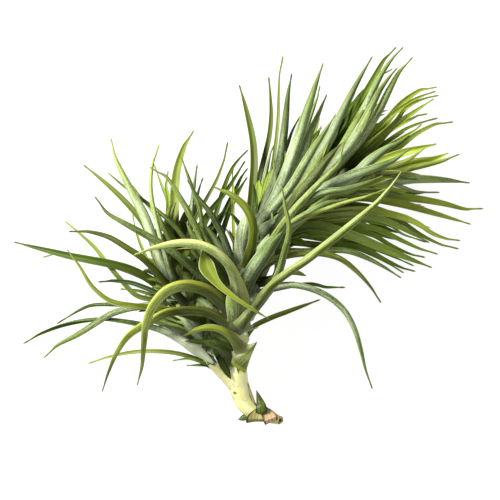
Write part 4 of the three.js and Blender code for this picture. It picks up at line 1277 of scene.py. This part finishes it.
def mainStations(name):
    # centre and radius of the round sections of the frame's stem, foot first
    rings = frameRings(name, 10)
    if rings[0][0].y > rings[-1][0].y:
        rings = rings[::-1]
    stations = []
    side = upward
    hearts = [middle(ring) for ring in rings]
    for i, ring in enumerate(rings):
        along = ahead(hearts, i).normalized()
        side = (side - along * side.dot(along)).normalized()
        radius = sum((p - hearts[i]).length for p in ring) / len(ring)
        # the foot lies on the table, and doesn't sink into it where it is rounder than the frame
        heart = hearts[i].copy()
        heart.z = max(heart.z, radius + stemShape["rest"] * mm)
        stations.append([heart, side.copy(), along.cross(side), radius, radius, 0.0])
    return stations


def shootStations(points):
    hearts = [Vector(point[:3]) for point in points]
    stations = []
    for i, (heart, point) in enumerate(zip(hearts, points)):
        along = ahead(hearts, i)
        side = upward.cross(along).normalized()
        radius = point[3] * mm
        stations.append([(heart + pictureOrigin) * mm, side, along.normalized().cross(side), radius,
                         radius, 0.0])
    return stations


for name, nodeName, stations, part in (
        ("main_stem_skin", "main_stem", mainStations("main_stem"), "main"),
        ("side_shoot_skin", "side_shoot_stem", shootStations(stemShape["sideShoot"]), "side")):
    stem = growBlades(name, [blade(handed(stations), "green")], stemSkin,
                      **stemShape["rings"], **stemShape[part])
    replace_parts(riding(stem), nodeName)
print("stems made")


# the cut end of the foot: a pale ring of wood round a rotted pith, turned in section
cutEnd = {
    "centre": (12.1, -68.4, 2.8), "facing": (0.6, -0.3, 0.74),       # mm from the picture's middle
    "profile": ((0.0, -0.5), (0.45, -0.45), (0.6, -0.1), (0.9, 0.12), (1.35, 0.1), (1.6, -0.25), (1.65, -0.9),
                (1.2, -1.8), (0.0, -2.2)),        # mm, radius and height
    "pithRings": 2, "steps": 28, "uneven": 0.16,
}


def addCutEnd(setup):
    facing = Vector(setup["facing"]).normalized()
    side = facing.orthogonal().normalized()
    over = facing.cross(side)
    centre = Vector(setup["centre"]) + pictureOrigin
    steps, profile = setup["steps"], setup["profile"]
    inner = profile[1:-1]
    points = [centre + facing * profile[0][1]]
    for k in range(steps):
        angle = 2 * math.pi * k / steps
        ragged = 1 + setup["uneven"] * math.sin(2 * angle + 0.6) * math.cos(3 * angle)
        outward = side * math.cos(angle) + over * math.sin(angle)
        points += [centre + facing * h + outward * r * ragged for r, h in inner]
    points.append(centre + facing * profile[-1][1])
    faces, pith = [], []
    last = len(points) - 1
    for k in range(steps):
        here, there = 1 + k * len(inner), 1 + (k + 1) % steps * len(inner)
        faces.append((0, here, there))
        faces += [(here + j, here + j + 1, there + j + 1, there + j) for j in range(len(inner) - 1)]
        faces.append((here + len(inner) - 1, last, there + len(inner) - 1))
        pith += [1] * setup["pithRings"] + [0] * (len(inner) + 1 - setup["pithRings"])
    mesh = bpy.data.meshes.new("cut_end")
    mesh.from_pydata([p * mm for p in points], [], faces)
    mesh.materials.append(bracts["cutWood"])
    mesh.materials.append(bracts["rottenPith"])
    mesh.polygons.foreach_set("material_index", pith)
    mesh.polygons.foreach_set("use_smooth", [True] * len(faces))
    storeVectors(mesh, {"bladeMm": points, "bladeSpot": [(0, 0, 0)] * len(points)})
    turned = bmesh.new()
    turned.from_mesh(mesh)
    bmesh.ops.recalc_face_normals(turned, faces=turned.faces)
    turned.to_mesh(mesh)
    turned.free()
    piece = bpy.data.objects.new("cut_end", mesh)
    scene.collection.objects.link(piece)
    riding(piece)


addCutEnd(cutEnd)
print("cut end made")


def addFloor(setup):
    # matt white paper on a light table
    material, tree, shader, node = newMaterial("palePaper")
    body = node("ShaderNodeTexCoord", out="Object")
    grain = node(noiseTexture, {"Vector": body, "Scale": 1 / (setup["paperGrain"] * mm)})
    colour = node(mix, {0: grain, 6: linear(setup["tableGrain"]), 7: linear(setup["table"])}, **colours)
    feed(tree, shader, {"Base Color": colour, "Roughness": setup["tableRoughness"],
                        "Emission Color": (1, 1, 1, 1), "Emission Strength": setup["tableGlow"]})
    mesh = bpy.data.meshes.new("floor")
    half = setup["tableHalf"]
    corners = [(-half, -half, 0), (half, -half, 0), (half, half, 0), (-half, half, 0)]
    mesh.from_pydata(corners, [], [(0, 1, 2, 3)])
    floor = bpy.data.objects.new("floor", mesh)
    floor.location.z = cadBox[0].z - setup["tableDrop"] * mm
    mesh.materials.append(material)
    scene.collection.objects.link(floor)
    floor.visible_diffuse = False       # its glow is for the eye, and doesn't fill the plant's shadows


addFloor(lightSetup)
